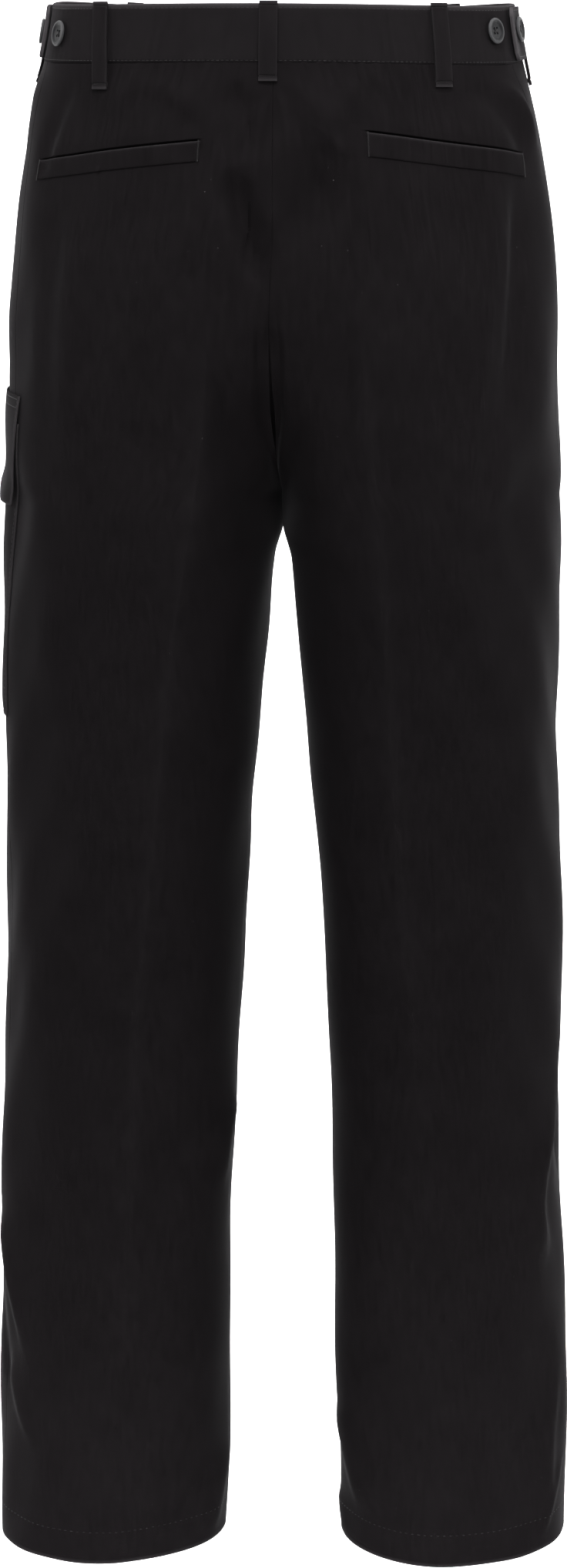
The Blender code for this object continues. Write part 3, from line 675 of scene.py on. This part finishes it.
def waistband(leg):
    """Half of the band: its outer face, the fold over the top, and its inner face."""
    outer = steps(-WAISTBAND_HEIGHT, (-BAND_ROUND, 0.0026))
    level = np.concatenate([outer, -BAND_ROUND * over_off[1:], outer[-2::-1]])[:, None]
    lift = np.concatenate([0 * outer, -BAND_ROUND * over_in[1:], -2 * BAND_ROUND + 0 * outer[1:]])[:, None]
    lift = lift + BAND_PROUD * smooth_step((level + WAISTBAND_HEIGHT) / 0.0016)
    down = distances(level[:, 0], lift[:, 0])[:, None]
    turn = np.linspace(0, 1, 181)[None, :]
    turn = turn + (1 - 2 * turn) * SEAM_GAP / girth(BAND_MIDDLE)
    from_edge = np.minimum(level + WAISTBAND_HEIGHT, -level)
    pucker = 0.00012 * np.sin(turn * 330) * hump(from_edge - 0.0025, 0.004)
    places = on_cloth(leg, level, turn, lift + pucker)[0]
    cloth_piece(
        f"waistband_{leg}",
        leg,
        places[::-1],
        (turn * girth(BAND_MIDDLE), down[::-1]),
        CLOTH_WALL,
        # The band is painted a little paler all over and much paler along its top fold: painted highlight where
        # it catches light from above.
        0.05 + 0.75 * hump(np.abs(down - down[len(outer) + 2])[::-1], 0.0022),
        flat=BAND_CUT,
        held="folded",
        rests_on=[f"back_{leg}_cloth", f"front_{leg}_cloth"],
    )


for leg in SIDES:
    waistband(leg)


# Sewing thread: every row of stitches is one piece, of short strands that sink into the cloth
thread, wire = new_material("sewing_thread")
strand = wire.noise(wire.place(), 2500.0, 1.0)
colour = wire.blend(strand, (0.0040, 0.0037, 0.0039, 1), (0.0150, 0.0142, 0.0147, 1))
wire.shade({"Base Color": colour, "Roughness": 0.5, "Specular IOR Level": 0.1})


def stitched(leg, levels, turns, lift, length=0.0026, gap=0.0006, slant=0.0):
    """Middles, directions, facings and lengths of the stitches along a line on the cloth."""
    places, out = on_cloth(leg, levels, turns, lift)
    run = distances(*places.T)
    count = max(1, int((run[-1] + gap) / (length + gap)))
    at = (np.arange(count) + 0.5) * run[-1] / count

    def on_line(values, further=0.0):
        return np.stack([np.interp(at + further, run, column) for column in values.T], axis=-1)

    facing = on_line(out)
    along = on_line(places, 0.001) - on_line(places, -0.001)
    along /= np.linalg.norm(along, axis=1, keepdims=True)
    turned = along * math.cos(slant) + np.cross(facing, along) * math.sin(slant)
    return on_line(places), turned, facing, np.full(count, length)


def sew(name, runs, width=0.00042, material=thread):
    """One piece of thread for all the stitches in runs."""
    middle, along, facing, length = (np.concatenate(values) for values in zip(*runs))
    across = np.cross(facing, along)
    across /= np.linalg.norm(across, axis=1, keepdims=True)
    facing = np.cross(along, across)
    grain = bmesh.new()
    bmesh.ops.create_icosphere(grain, subdivisions=1, radius=0.5)
    points = np.array([vert.co for vert in grain.verts])
    faces = np.array([[vert.index for vert in face.verts] for face in grain.faces])
    grain.free()
    axes = np.stack([along * length[:, None], across * width, facing * width * 0.7], axis=1)
    strands = middle[:, None] + points @ axes
    all_faces = faces[None] + (np.arange(len(middle)) * len(points))[:, None, None]
    mesh = bpy.data.meshes.new(name)
    mesh.from_pydata(strands.reshape(-1, 3), [], all_faces.reshape(-1, 3).tolist())
    mesh.shade_smooth()
    mesh.materials.append(material)
    made = add_object(name, mesh)
    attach(made, "root")


leg_turns = np.linspace(0.004, 0.996, 500)
for leg in SIDES:
    rows = [stitched(leg, level, leg_turns, BAND_PROUD + 0.00005) for level in BAND_STITCHES]
    sew(f"waistband_{leg}_stitches", rows)


# ---- Hems ----
# Each hem is held up by one row of blind stitching, which shows as small pricks round the leg.

for leg in SIDES:
    row = stitched(leg, HEM_LEVEL + HEM_TURN_UP, leg_turns, 0.0, length=0.0024, gap=0.0022)
    sew(f"hem_{leg}_stitches", [row], width=0.0004)


# ---- Belt loops ----
# Seven strips of folded twill. Both ends are folded under and sewn down through the band and the leg,
# which leaves a groove at each end, and the strip stands a little off the band between them.

LOOP_WIDTH = 0.012
LOOP_WALL = 0.0018
LOOP_END = 0.0030  # length of the folded end beyond its sewing
LOOP_CUT = (0.016, 0.062)
LAID_ON = 0.0004
LOOPS = (
    # place, leg, level of its top, turn at the top and at the bottom, length, how far it bows off the band
    ("back", "left", 0.0015, 0.252, 0.226, 0.0560, 0.0015),
    ("back", "right", 0.0015, 0.238, 0.229, 0.0535, 0.0015),
    ("side", "left", -0.0040, 0.508, 0.508, 0.0495, 0.0008),
    ("side", "right", -0.0040, 0.508, 0.508, 0.0495, 0.0008),
    ("front", "left", 0.0015, 0.760, 0.760, 0.0550, 0.0015),
    ("front", "right", 0.0015, 0.760, 0.760, 0.0550, 0.0015),
)
CENTRE_LOOP_EDGES = (-0.0095, 0.0025)  # it is sewn on beside the seam, to the wearer's left
CENTRE_LOOP = (0.0015, 0.0510, 0.0020)  # level of its top, length and bow


def loop_lift(along, length, bow, across=0.0):
    """How far a loop's face stands off the cloth, a distance down it and a share across it."""
    down = np.clip((along / length - 0.03) / 0.94, 0, 1)
    groove = 0.0007 * hump(np.minimum(along, length - along) - LOOP_END, 0.0005)
    bowed = bow * np.sin(math.pi * down) ** 0.8
    return BAND_PROUD + LAID_ON + LOOP_WALL + bowed - groove - 0.00025 * across**6


def belt_loop(name, top, length, bow, strips):
    """A strip through parts of it that each lie on one leg, from its left edge to its right one."""
    along = steps(0, (LOOP_END - 0.0016, 0.0005), (LOOP_END + 0.0016, 0.0002), (length / 2, 0.0012))
    along = np.concatenate([along, (length - along)[-2::-1]])[:, None]
    level = top - along
    grids, threads = [], []
    for leg, turn_of, shares in strips:
        turns = turn_of(along / length, level, shares)
        grids.append(on_cloth(leg, level, turns, loop_lift(along, length, bow, shares))[0])
        for end in (LOOP_END, length - LOOP_END):
            row = np.linspace(shares[0], shares[-1], 24) * 0.92
            row_turns = turn_of(end / length, top - end, row)
            row_lift = loop_lift(end, length, bow, row) + 0.0002
            threads.append(stitched(leg, top - end, row_turns, row_lift, 0.0011, -0.0004, slant=1.2))
    shares = np.concatenate([strip[2] for strip in strips])
    from_end = np.minimum(along, length - along)
    cloth_piece(
        name,
        "right",
        np.concatenate(grids, axis=1),
        (shares * LOOP_WIDTH / 2, level),
        LOOP_WALL,
        # The loop is painted paler all over, a painted highlight, and paler still at its folded ends and its
        # edges.
        0.03 + 0.30 * hump(from_end, 0.0016) + 0.12 * np.abs(shares) ** 12,
        edge=(0.0004, 2),
        flat=LOOP_CUT,
        held="folded",
        rests_on=[f"waistband_{strips[0][0]}_cloth"],
    )
    sew(name + "_tacks", threads, width=0.0003)


def along_turns(top_turn, bottom_turn):
    """Turns of a loop that lies on one leg."""

    def turn_of(down, level, share):
        middle = top_turn + (bottom_turn - top_turn) * down
        return middle + LOOP_WIDTH / 2 * share / pace(level, middle)

    return turn_of


def beside_seam(down, level, share):
    """Turns of the loop at the centre back, on whichever leg it lies."""
    return np.abs(sum(CENTRE_LOOP_EDGES) / 2 + LOOP_WIDTH / 2 * share) / pace(level, 0.0) * 0.5


for place, leg, top, top_turn, bottom_turn, length, bow in LOOPS:
    shares = np.linspace(-1, 1, 13) * (1 if leg == "right" else -1)
    belt_loop(f"loop_{place}_{leg}", top, length, bow, [(leg, along_turns(top_turn, bottom_turn), shares)])
seam_share = -sum(CENTRE_LOOP_EDGES) / LOOP_WIDTH
left_strip = ("left", beside_seam, np.linspace(-1, seam_share - 0.03, 11))
right_strip = ("right", beside_seam, np.linspace(seam_share + 0.03, 1, 4))
belt_loop("loop_back_centre", *CENTRE_LOOP, [left_strip, right_strip])


# ---- Hip pockets ----
# One narrow welt closes each slanting pocket mouth. Its top edge is a fold that stands free over the
# dark mouth, its lower edge is sewn into the panel, and a small bar of zigzag holds each end.

WELT_WALL = 0.0010
WELT_LENGTH = 0.125
WELT_TURN_IN = 0.007


def welt(leg):
    """The welt and the two bars at its ends."""
    (_, inner_turn), (_, outer_turn), height = MOUTHS[leg]
    turn = np.linspace(inner_turn, outer_turn, 91)[None, :]
    down = np.linspace(0, 1, 15)[:, None]
    level, turn = np.broadcast_arrays(mouth_level(leg, turn) - height * down, turn)
    clear = np.minimum(level, mouth_level(leg, turn) - 0.0052)
    beside_mouth = relief(leg, clear, turn) - relief(leg, level, turn)
    lift = WELT_WALL * (0.60 + 0.40 * np.sin(math.pi * down) ** 0.5) + 0.0003 + beside_mouth
    cloth_piece(
        f"welt_{leg}",
        leg,
        on_cloth(leg, level, turn, lift)[0],
        (turn * girth(-0.08), level),
        WELT_WALL * 0.9,
        0.35 * hump(down, 0.06),
        edge=(0.0003, 2),
        flat=(WELT_LENGTH, height + WELT_TURN_IN),
        held="laid",
        rests_on=[f"back_{leg}_cloth"],
    )
    bars = []
    for end, inward in ((inner_turn, 1), (outer_turn, -1)):
        turn = end + inward * 0.0010 / pace(-0.085, end)
        level = mouth_level(leg, end) + 0.0004 - (height + 0.0008) * np.linspace(0, 1, 30)
        lift = WELT_WALL + 0.0003 + relief(leg, level - 0.006, turn) - relief(leg, level, turn)
        bars.append(stitched(leg, level, turn, lift, 0.0014, -0.0009, slant=1.3))
    sew(f"welt_{leg}_bars", bars, width=0.00030)


for leg in SIDES:
    welt(leg)


# ---- Cargo pocket ----
# A patch pocket on the left leg only, topstitched round three sides along the side seam, with a loose
# flap sewn on above it that stands off the leg at its lower edge.

POCKET_WALL = 0.0012
POCKET_TOP = -0.262
POCKET_BOTTOM = -0.467
POCKET_TURNS = 0.290
POCKET_BACK_EDGE = 0.004
POCKET_CUT = (0.160, 0.225)
FLAP_WALL = 0.0014
FLAP_TOP = -0.243
FLAP_BOTTOM = -0.318
FLAP_BACK_EDGE = 0.002
FLAP_CUT = (0.150, 0.080)
# How far the back edges lap over the side seam, and how far the flap stands off the leg, in millimetres
POCKET_LAP = table("level lap", [(-243, 15), (-310, 13), (-370, 9), (-467, 5)], unit=0.001)
FLAP_RISE = [(-243, 0.4), (-252, 1.4), (-262, 2.1), (-290, 3), (-318, 4.8)]
FLAP_SHAPE = table("level lift", FLAP_RISE, unit=0.001)


def on_pocket(level, share, back_edge):
    """The turn at a share of the way across the pocket, from its back edge to its front edge."""
    back = curve(SEAMS, "left", level) + back_edge - curve(POCKET_LAP, "lap", level) / girth(level)
    front = curve(SEAMS, "left", level) + POCKET_TURNS - back_edge
    return back + (front - back) * share


across_pocket = np.linspace(0, 1, 91)[None, :]


def pocket_piece(node, level, back_edge, from_edge, lift, wall, wear_and_highlight, **cut):
    """The pocket or its flap, paler along its edges."""
    turn = on_pocket(level, across_pocket, back_edge)
    places = on_cloth("left", level, turn, lift)[0]
    wear_and_highlight = wear_and_highlight * hump(from_edge, 0.0012)
    flat_places = (turn * girth(level), level)
    cloth_piece(node, "left", places, flat_places, wall, wear_and_highlight, rests_on=["front_left_cloth"], **cut)


level = steps(POCKET_TOP, (POCKET_BOTTOM, 0.0026))[:, None]
from_edge = np.minimum(np.minimum(across_pocket, 1 - across_pocket) * 0.152, level - POCKET_BOTTOM)
lift = LAID_ON + POCKET_WALL + 0.0006 * smooth_step(from_edge / 0.012)
lift = lift - 0.0003 * hump(from_edge - 0.0022, 0.0009)
pocket_cut = {"edge": (0.0004, 2), "flat": POCKET_CUT, "held": "laid"}
pocket_piece("cargo_pocket", level, POCKET_BACK_EDGE, from_edge, lift, POCKET_WALL, 0.4, **pocket_cut)
level = steps(FLAP_TOP, (FLAP_BOTTOM, 0.0020))[:, None]
from_edge = np.minimum(np.minimum(across_pocket, 1 - across_pocket) * 0.158, level - FLAP_BOTTOM)
rippled = smooth_step((POCKET_TOP - level) / 0.05) * np.sin(math.pi * (3 * across_pocket + 0.2)) ** 2
lift = curve(FLAP_SHAPE, "lift", level) + FLAP_WALL + 0.0012 * rippled
flap_cut = {"edge": (0.0005, 2), "flat": FLAP_CUT, "held": "hung"}
pocket_piece("cargo_flap", level, FLAP_BACK_EDGE, from_edge, lift, FLAP_WALL, 0.5, **flap_cut)


def pocket_lines(name, back_edge, lines, lift=None):
    """Stitches on the pocket or flap, each line from one (share, level) to another."""
    runs = []
    for first, last in lines:
        share, level = np.linspace(first, last, 120).T
        raised = np.interp(level, FLAP_SHAPE["level"], FLAP_SHAPE["lift"]) if lift is None else lift
        runs.append(stitched("left", level, on_pocket(level, share, back_edge), raised + FLAP_WALL))
    sew(name, runs)


pocket_rows = (
    ((0.014, -0.320), (0.014, -0.4645)),
    ((0.014, -0.4645), (0.986, -0.4645)),
    ((0.986, -0.4645), (0.986, -0.320)),
    ((0.0, -0.447), (0.05, -0.447)),
)
flap_rows = (
    ((0.012, -0.2455), (0.988, -0.2455)),
    ((0.012, -0.2510), (0.988, -0.2510)),
    ((0.012, -0.2455), (0.012, -0.3155)),
    ((0.012, -0.3155), (0.988, -0.3155)),
    ((0.988, -0.3155), (0.988, -0.2455)),
)
pocket_lines("cargo_pocket_stitches", POCKET_BACK_EDGE, pocket_rows, LAID_ON + 0.0001)
pocket_lines("cargo_flap_stitches", FLAP_BACK_EDGE, flap_rows)


# ---- Side adjusters ----
# A folded tab on each side of the band, sewn into the side and pointing back. Its free end is thick and
# curls off the band, and a buttonhole in it holds the outer of two buttons.

TAB_WALL = 0.0024
TAB_HEIGHT = 0.035
TAB_CORNER = 0.0045
TAB_TURNS = {"left": (0.440, 0.489), "right": (0.4125, 0.487)}  # its free end and its sewn end
FASTENED_BUTTON_TURN = {"left": 0.468, "right": 0.449}
TAB_CURL = {"left": 0.0008, "right": 0.0016}
BUTTON_LEVEL = {"left": -0.0195, "right": -0.0165}
on_tab = BAND_PROUD + LAID_ON + TAB_WALL


def adjuster_tab(leg):
    """The tab, its topstitching and its worked buttonhole."""
    end_turn, sewn_turn = TAB_TURNS[leg]
    end_pace = pace(BAND_MIDDLE, end_turn)
    middle = -WAISTBAND_HEIGHT / 2

    def curled(turn):
        return TAB_CURL[leg] * smooth_step(1 - (turn - end_turn) * end_pace / 0.014)

    turn = np.linspace(end_turn, sewn_turn, 31)[None, :]
    from_end = (turn - end_turn) * end_pace
    cut = 1 - 0.30 * np.clip(1 - from_end / TAB_CORNER, 0, 1) ** 2
    across = np.linspace(1, -1, 21)[:, None]
    level = middle + TAB_HEIGHT / 2 * cut * across
    lift = on_tab + curled(turn) + 0.0006 * hump(from_end - 0.0015, 0.0018)
    cloth_piece(
        f"adjuster_tab_{leg}",
        leg,
        on_cloth(leg, level, turn, lift)[0],
        (turn * girth(BAND_MIDDLE), level),
        TAB_WALL,
        # The tab is painted paler all over and much paler at its curled free end and its edges: painted
        # highlight where the thick end catches the light.
        0.15 + 0.85 * hump(from_end, 0.0030) + 0.3 * np.abs(across) ** 16,
        edge=(0.0009, 3),
        flat=(float(from_end.max()) + 0.002, TAB_HEIGHT),
        held="folded",
        rests_on=[f"waistband_{leg}_cloth"],
    )
    high = TAB_HEIGHT / 2 - 0.0022
    edge_turn = end_turn + TAB_CORNER / end_pace
    runs = []
    for first, last in (
        ((edge_turn, middle + high), (sewn_turn, middle + high)),
        ((edge_turn, middle + high - 0.002), (edge_turn, middle - high + 0.002)),
        ((edge_turn, middle - high), (sewn_turn, middle - high)),
    ):
        turns, levels = np.linspace(first, last, 60).T
        runs.append(stitched(leg, levels, turns, on_tab + curled(turns)))
    turns = FASTENED_BUTTON_TURN[leg] + np.linspace(-0.012, 0.012, 40)
    for lip in (-0.0009, 0.0009):
        runs.append(stitched(leg, BUTTON_LEVEL[leg] + lip, turns, on_tab + 0.0001, 0.0014, -0.0010, slant=1.57))
    sew(f"adjuster_tab_{leg}_stitches", runs)


for leg in SIDES:
    adjuster_tab(leg)


# ---- Buttons ----
# Four-hole buttons of dark grey resin with a raised rim round a dished middle, each sewn on with a
# crossed thread. Two stand on each side of the band, the outer one through the tab, and one at the front.

FREE_BUTTON_TURN = 0.3585
WAIST_BUTTON_TURN = 0.965
BUTTON_THICKNESS = 0.0027
BUTTON_HOLE = 0.00095
HOLE_SPREAD = 0.0016
THREAD_HEIGHT = 0.00165
# Radius and height in millimetres, up the middle and down over the rim
BUTTON_PROFILE = (
    *((0, 1.35), (3, 1.4), (5, 1.6), (5.6, 1.85), (6, 2.45), (6.6, 2.68), (7.4, 2.7), (8.1, 2.45)),
    *((8.5, 1.8), (8.3, 1), (7.2, 0.3), (5, 0), (0, 0)),
)
resin, wire = new_material("button_resin")
place_map = wire.place()
marbled = wire.noise(place_map, 260.0, 3.0)
scratch = wire.noise(place_map, 2600.0)
colour = wire.blend(marbled, (0.0030, 0.0030, 0.0034, 1), (0.0065, 0.0065, 0.0070, 1))
rim_highlight = wire.node("ShaderNodeAttribute", {"attribute_name": "rim_highlight"}, output=2)
# The raised rim is painted paler than the middle: a painted highlight where the rim catches the light.
colour = wire.blend(rim_highlight * 0.9, colour, (0.022, 0.022, 0.023, 1))
bump = wire.bump(scratch, 0.15, 0.0001)
wire.shade({"Base Color": colour, "Roughness": scratch * 0.15 + 0.38, "Normal": bump})
wire.shade({"Specular IOR Level": 0.06})


def button_mesh():
    """One button, facing up, with its four holes cut through."""
    turned = bmesh.new()
    points = [turned.verts.new((radius / 1000, 0, height / 1000)) for radius, height in BUTTON_PROFILE]
    edges = [turned.edges.new(pair) for pair in zip(points, points[1:])]
    spin = {"cent": (0, 0, 0), "axis": (0, 0, 1), "angle": math.tau, "steps": 48, "use_merge": True}
    bmesh.ops.spin(turned, geom=points + edges, **spin)
    bmesh.ops.remove_doubles(turned, verts=turned.verts, dist=0.00001)
    bmesh.ops.recalc_face_normals(turned, faces=turned.faces)
    blank = add_object("button_blank", to_mesh(turned, "button_blank"))
    drill = bmesh.new()
    hole = {"cap_ends": True, "segments": 16, "radius1": BUTTON_HOLE, "radius2": BUTTON_HOLE}
    for x in (-HOLE_SPREAD, HOLE_SPREAD):
        for y in (-HOLE_SPREAD, HOLE_SPREAD):
            place = Matrix.Translation((x, y, 0))
            bmesh.ops.create_cone(drill, depth=3 * BUTTON_THICKNESS, matrix=place, **hole)
    drills = add_object("button_drill", to_mesh(drill, "button_drill"))
    cut = blank.modifiers.new("holes", "BOOLEAN")
    cut.operation = "DIFFERENCE"
    cut.object = drills
    bpy.context.view_layer.update()
    mesh = bpy.data.meshes.new_from_object(blank.evaluated_get(bpy.context.evaluated_depsgraph_get()))
    places = np.zeros(3 * len(mesh.vertices))
    mesh.vertices.foreach_get("co", places)
    radius = np.linalg.norm(places.reshape(-1, 3)[:, :2], axis=1)
    # marks the outer rim for its painted highlight
    set_attribute(mesh, "rim_highlight", smooth_step((radius - 0.0066) / 0.0008))
    for made in (blank, drills):
        bpy.data.objects.remove(made)
    return mesh


drilled = button_mesh()


def button(name, leg, turn, lift):
    """A button on the band or on what lies on it, with the thread through its holes."""
    place, out = on_cloth(leg, np.array(BUTTON_LEVEL[leg]), np.array(turn), lift)
    turned = Vector(out).to_track_quat("Z", "Y").to_matrix()
    move = Matrix.Translation(Vector(place)) @ turned.to_4x4()
    mesh = drilled.copy()
    mesh.transform(move)
    mesh.materials.append(resin)
    mesh.shade_smooth()
    mesh.set_sharp_from_angle(angle=math.radians(38))
    made = add_object(name + "_resin", mesh)
    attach(made, "root")
    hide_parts(name)
    runs = []
    for x, y in ((1, 1), (1, -1)):
        for side in (-0.00022, 0.00022):
            middle = move @ (Vector((-y, x, 0)).normalized() * side + Vector((0, 0, THREAD_HEIGHT)))
            ways = (middle, turned @ Vector((x, y, 0)).normalized(), turned @ Vector((0, 0, 1)))
            runs.append([*(np.array([way]) for way in ways), np.array([2 * HOLE_SPREAD * math.sqrt(2)])])
    sew(name + "_thread", runs, width=0.00055)


on_band = BAND_PROUD + LAID_ON
for leg in SIDES:
    button(f"button_{leg}_inner", leg, FREE_BUTTON_TURN, on_band + 0.0004)
    button(f"button_{leg}_outer", leg, FASTENED_BUTTON_TURN[leg], on_tab + LAID_ON)
button("waist_button", "left", WAIST_BUTTON_TURN, on_band)


# ---- Fly ----
# The centre front closes with a coil zip hidden behind the panels' edges: two woven tapes with nylon
# teeth. The facing is sewn down with a curved row of stitches, and a plain twill guard lies behind.

FLY_WIDTH = 0.034
FLY_SEAM_OFF = 0.0012
FLY_CURVE_FROM = -0.130
FLY_END = -0.172
FLY_WALL = 0.0010
ZIP_ENDS = (-0.045, -0.160)
ZIP_HALF_WIDTH = 0.010
ZIP_BEHIND = 0.0016
ZIP_CUT = (0.028, 0.115)
TOOTH_PITCH = 0.0013
TOOTH_LENGTH = 0.0050
GUARD_ENDS = (-0.004, -0.175)
GUARD_HALF_WIDTH = 0.020
GUARD_CUT = (0.056, 0.171)

fly_levels = np.linspace(-0.0395, FLY_END, 120)
fly_curve = np.clip(FLY_CURVE_FROM - fly_levels, 0, None) / (FLY_CURVE_FROM - FLY_END)
fly_bend = np.sqrt(np.clip(1 - fly_curve**2, 0, 1))
fly_turns = 1 - (FLY_SEAM_OFF + (FLY_WIDTH - FLY_SEAM_OFF) * fly_bend) / girth(fly_levels)
sew("fly_stitches", [stitched("left", fly_levels, fly_turns, 0.00005)])

zip_tape, wire = new_material("zip_tape")
cloth_map = wire.node("ShaderNodeUVMap", {"uv_map": "cloth"})
ribs = wire.node("ShaderNodeTexWave", {"bands_direction": "X"}, {"Vector": cloth_map, "Scale": 420.0})
specks = wire.noise(cloth_map, 900.0)
colour = wire.blend(ribs * 0.5 + specks * 0.5, (0.0030, 0.0030, 0.0034, 1), (0.0090, 0.0088, 0.0095, 1))
bump = wire.bump(ribs, 0.3, 0.0001)
wire.shade({"Base Color": colour, "Roughness": specks * 0.1 + 0.6, "Normal": bump})
nylon, wire = new_material("zip_nylon")
specks = wire.noise(wire.place(), 1500.0)
colour = wire.blend(specks, (0.0040, 0.0040, 0.0044, 1), (0.0080, 0.0080, 0.0086, 1))
wire.shade({"Base Color": colour, "Roughness": 0.35})


def fly_strip(node, half_width, ends, behind, cut, finish):
    """A strip across the centre front, from the wearer's right to the left, behind the panels."""
    level = np.linspace(*ends, 50)[:, None]
    offset = half_width * np.linspace(1, 0, 9)
    turn = 1 - offset / girth(level)
    right = on_cloth("right", level, turn, -behind)[0]
    left = on_cloth("left", level, turn[:, :-1], -behind)[0]
    places = np.concatenate([right, left[:, ::-1]], axis=1)
    across = np.concatenate([offset, -offset[-2::-1]])
    held = {"flat": cut, "held": "laid", "rests_on": ["front_left_cloth"]}
    cloth_piece(node, "right", places, (across, level), FLY_WALL, finish=finish, **held)


fly_strip("fly_zip", ZIP_HALF_WIDTH, ZIP_ENDS, ZIP_BEHIND, ZIP_CUT, (zip_tape, "zip_tape"))
guard_behind = ZIP_BEHIND + FLY_WALL + LAID_ON
fly_strip("fly_guard", GUARD_HALF_WIDTH, GUARD_ENDS, guard_behind, GUARD_CUT, (twill, "twill"))
tooth_levels = np.arange(ZIP_ENDS[1] + 0.004, ZIP_ENDS[0] - 0.002, TOOTH_PITCH)
teeth, teeth_out = on_cloth("right", tooth_levels, 1.0, -ZIP_BEHIND + 0.0002)
across_zip = np.cross(teeth_out, (0.0, 0.0, 1.0))
across_zip /= np.linalg.norm(across_zip, axis=1, keepdims=True)
tooth_run = (teeth, across_zip, teeth_out, np.full(len(tooth_levels), TOOTH_LENGTH))
sew("fly_zip_teeth", [tooth_run], width=0.0011, material=nylon)


# ---- Floor, light and camera ----
# The trousers stand before a plain pale sweep in soft light from both sides and above, seen from
# behind, a little to the wearer's right.

FLOOR_LEVEL = -1.32
FLOOR_HALF_WIDTH = 7.0
SWEEP = ((-6.0, 0.0), (1.6, 0.0), (2.1, 0.07), (2.5, 0.27), (2.8, 0.60), (2.95, 1.05), (3.0, 1.6), (3.0, 5.0))
paper, wire = new_material("pale_paper")
wire.shade({"Base Color": (0.90, 0.90, 0.90, 1), "Roughness": 0.9})
sweep = bmesh.new()
ends = (-FLOOR_HALF_WIDTH, FLOOR_HALF_WIDTH)
near, far = ([sweep.verts.new((x, y, FLOOR_LEVEL + up)) for y, up in SWEEP] for x in ends)
for corners in zip(near, far, far[1:], near[1:]):
    sweep.faces.new(corners)
sweep_mesh = to_mesh(sweep, "floor")
sweep_mesh.shade_smooth()
sweep_mesh.materials.append(paper)
add_object("floor", sweep_mesh)

SIDE_LIGHTS = (
    # name, place and aim on the wearer's right, width, height, spread in degrees, left and right power
    ("softbox", (2.4, -0.25, 0.0), (0, 0, -0.2), 0.6, 1.4, 180, 17, 12),
    ("rim_softbox", (2.3, 0.8, -1.1), (0, 0, -1.1), 0.6, 0.9, 120, 11, 11),
    ("waist_softbox", (1.7, -0.5, 0.7), (0, 0, -0.08), 0.6, 0.6, 180, 20, 22),
    ("paper_lamp", (2.6, 0.9, 1.2), (0.8, 3.0, -0.4), 1.0, 2.4, 180, 110, 110),
)
MIDDLE_LIGHTS = (
    ("key_softbox", (0.1, -1.9, 2.4), (0, 0, 0.35), 0.9, 0.7, 80, 36),
    ("waist_softbox", (0.5, -1.6, 0.9), (0, 0, 0.0), 0.6, 0.4, 180, 34),
    ("fill_softbox", (-0.15, -2.2, -0.60), (0, 0, -0.6), 1.0, 0.8, 180, 20),
    ("hem_softbox", (0.0, -1.5, -1.22), (0, 0, -1.27), 1.4, 0.12, 50, 6),
    ("top_softbox", (0.0, 0.2, 2.3), (0, 0, -0.5), 2.0, 2.0, 180, 110),
)


def aimed(name, data, place, aim):
    """A lamp or camera at a place, pointing at another."""
    made = add_object(name, data)
    made.location = place
    made.rotation_euler = (Vector(aim) - Vector(place)).to_track_quat("-Z", "Y").to_euler()
    return made


def light(name, place, aim, width, tall, spread, power):
    lamp = bpy.data.lights.new(name, "AREA")
    lamp.shape = "RECTANGLE"
    lamp.size = width
    lamp.size_y = tall
    lamp.spread = math.radians(spread)
    lamp.energy = power
    aimed(name, lamp, place, aim)


for name, (x, *place), (aim_x, *aim), *size, left_power, right_power in SIDE_LIGHTS:
    light("left_" + name, (-x, *place), (-aim_x, *aim), *size, left_power)
    light("right_" + name, (x, *place), (aim_x, *aim), *size, right_power)
for settings in MIDDLE_LIGHTS:
    light(*settings)

world = bpy.data.worlds.new("pale_room")
world.use_nodes = True
world.node_tree.nodes["Background"].inputs["Color"].default_value = (1, 1, 1, 1)
world.node_tree.nodes["Background"].inputs["Strength"].default_value = 0.45
bpy.context.scene.world = world
bpy.context.scene.view_settings.view_transform = "Standard"

CAMERA_DISTANCE = 3.0
CAMERA_HEIGHT = 0.15
CAMERA_TURN = math.radians(5.0)
CAMERA_AIM = (0, 0, -0.522)
lens = bpy.data.cameras.new("camera")
lens.lens = 101.0
lens.sensor_width = 36.0
to_right, behind = math.sin(CAMERA_TURN) * CAMERA_DISTANCE, math.cos(CAMERA_TURN) * CAMERA_DISTANCE
bpy.context.scene.camera = aimed("camera", lens, (to_right, -behind, CAMERA_HEIGHT), CAMERA_AIM)
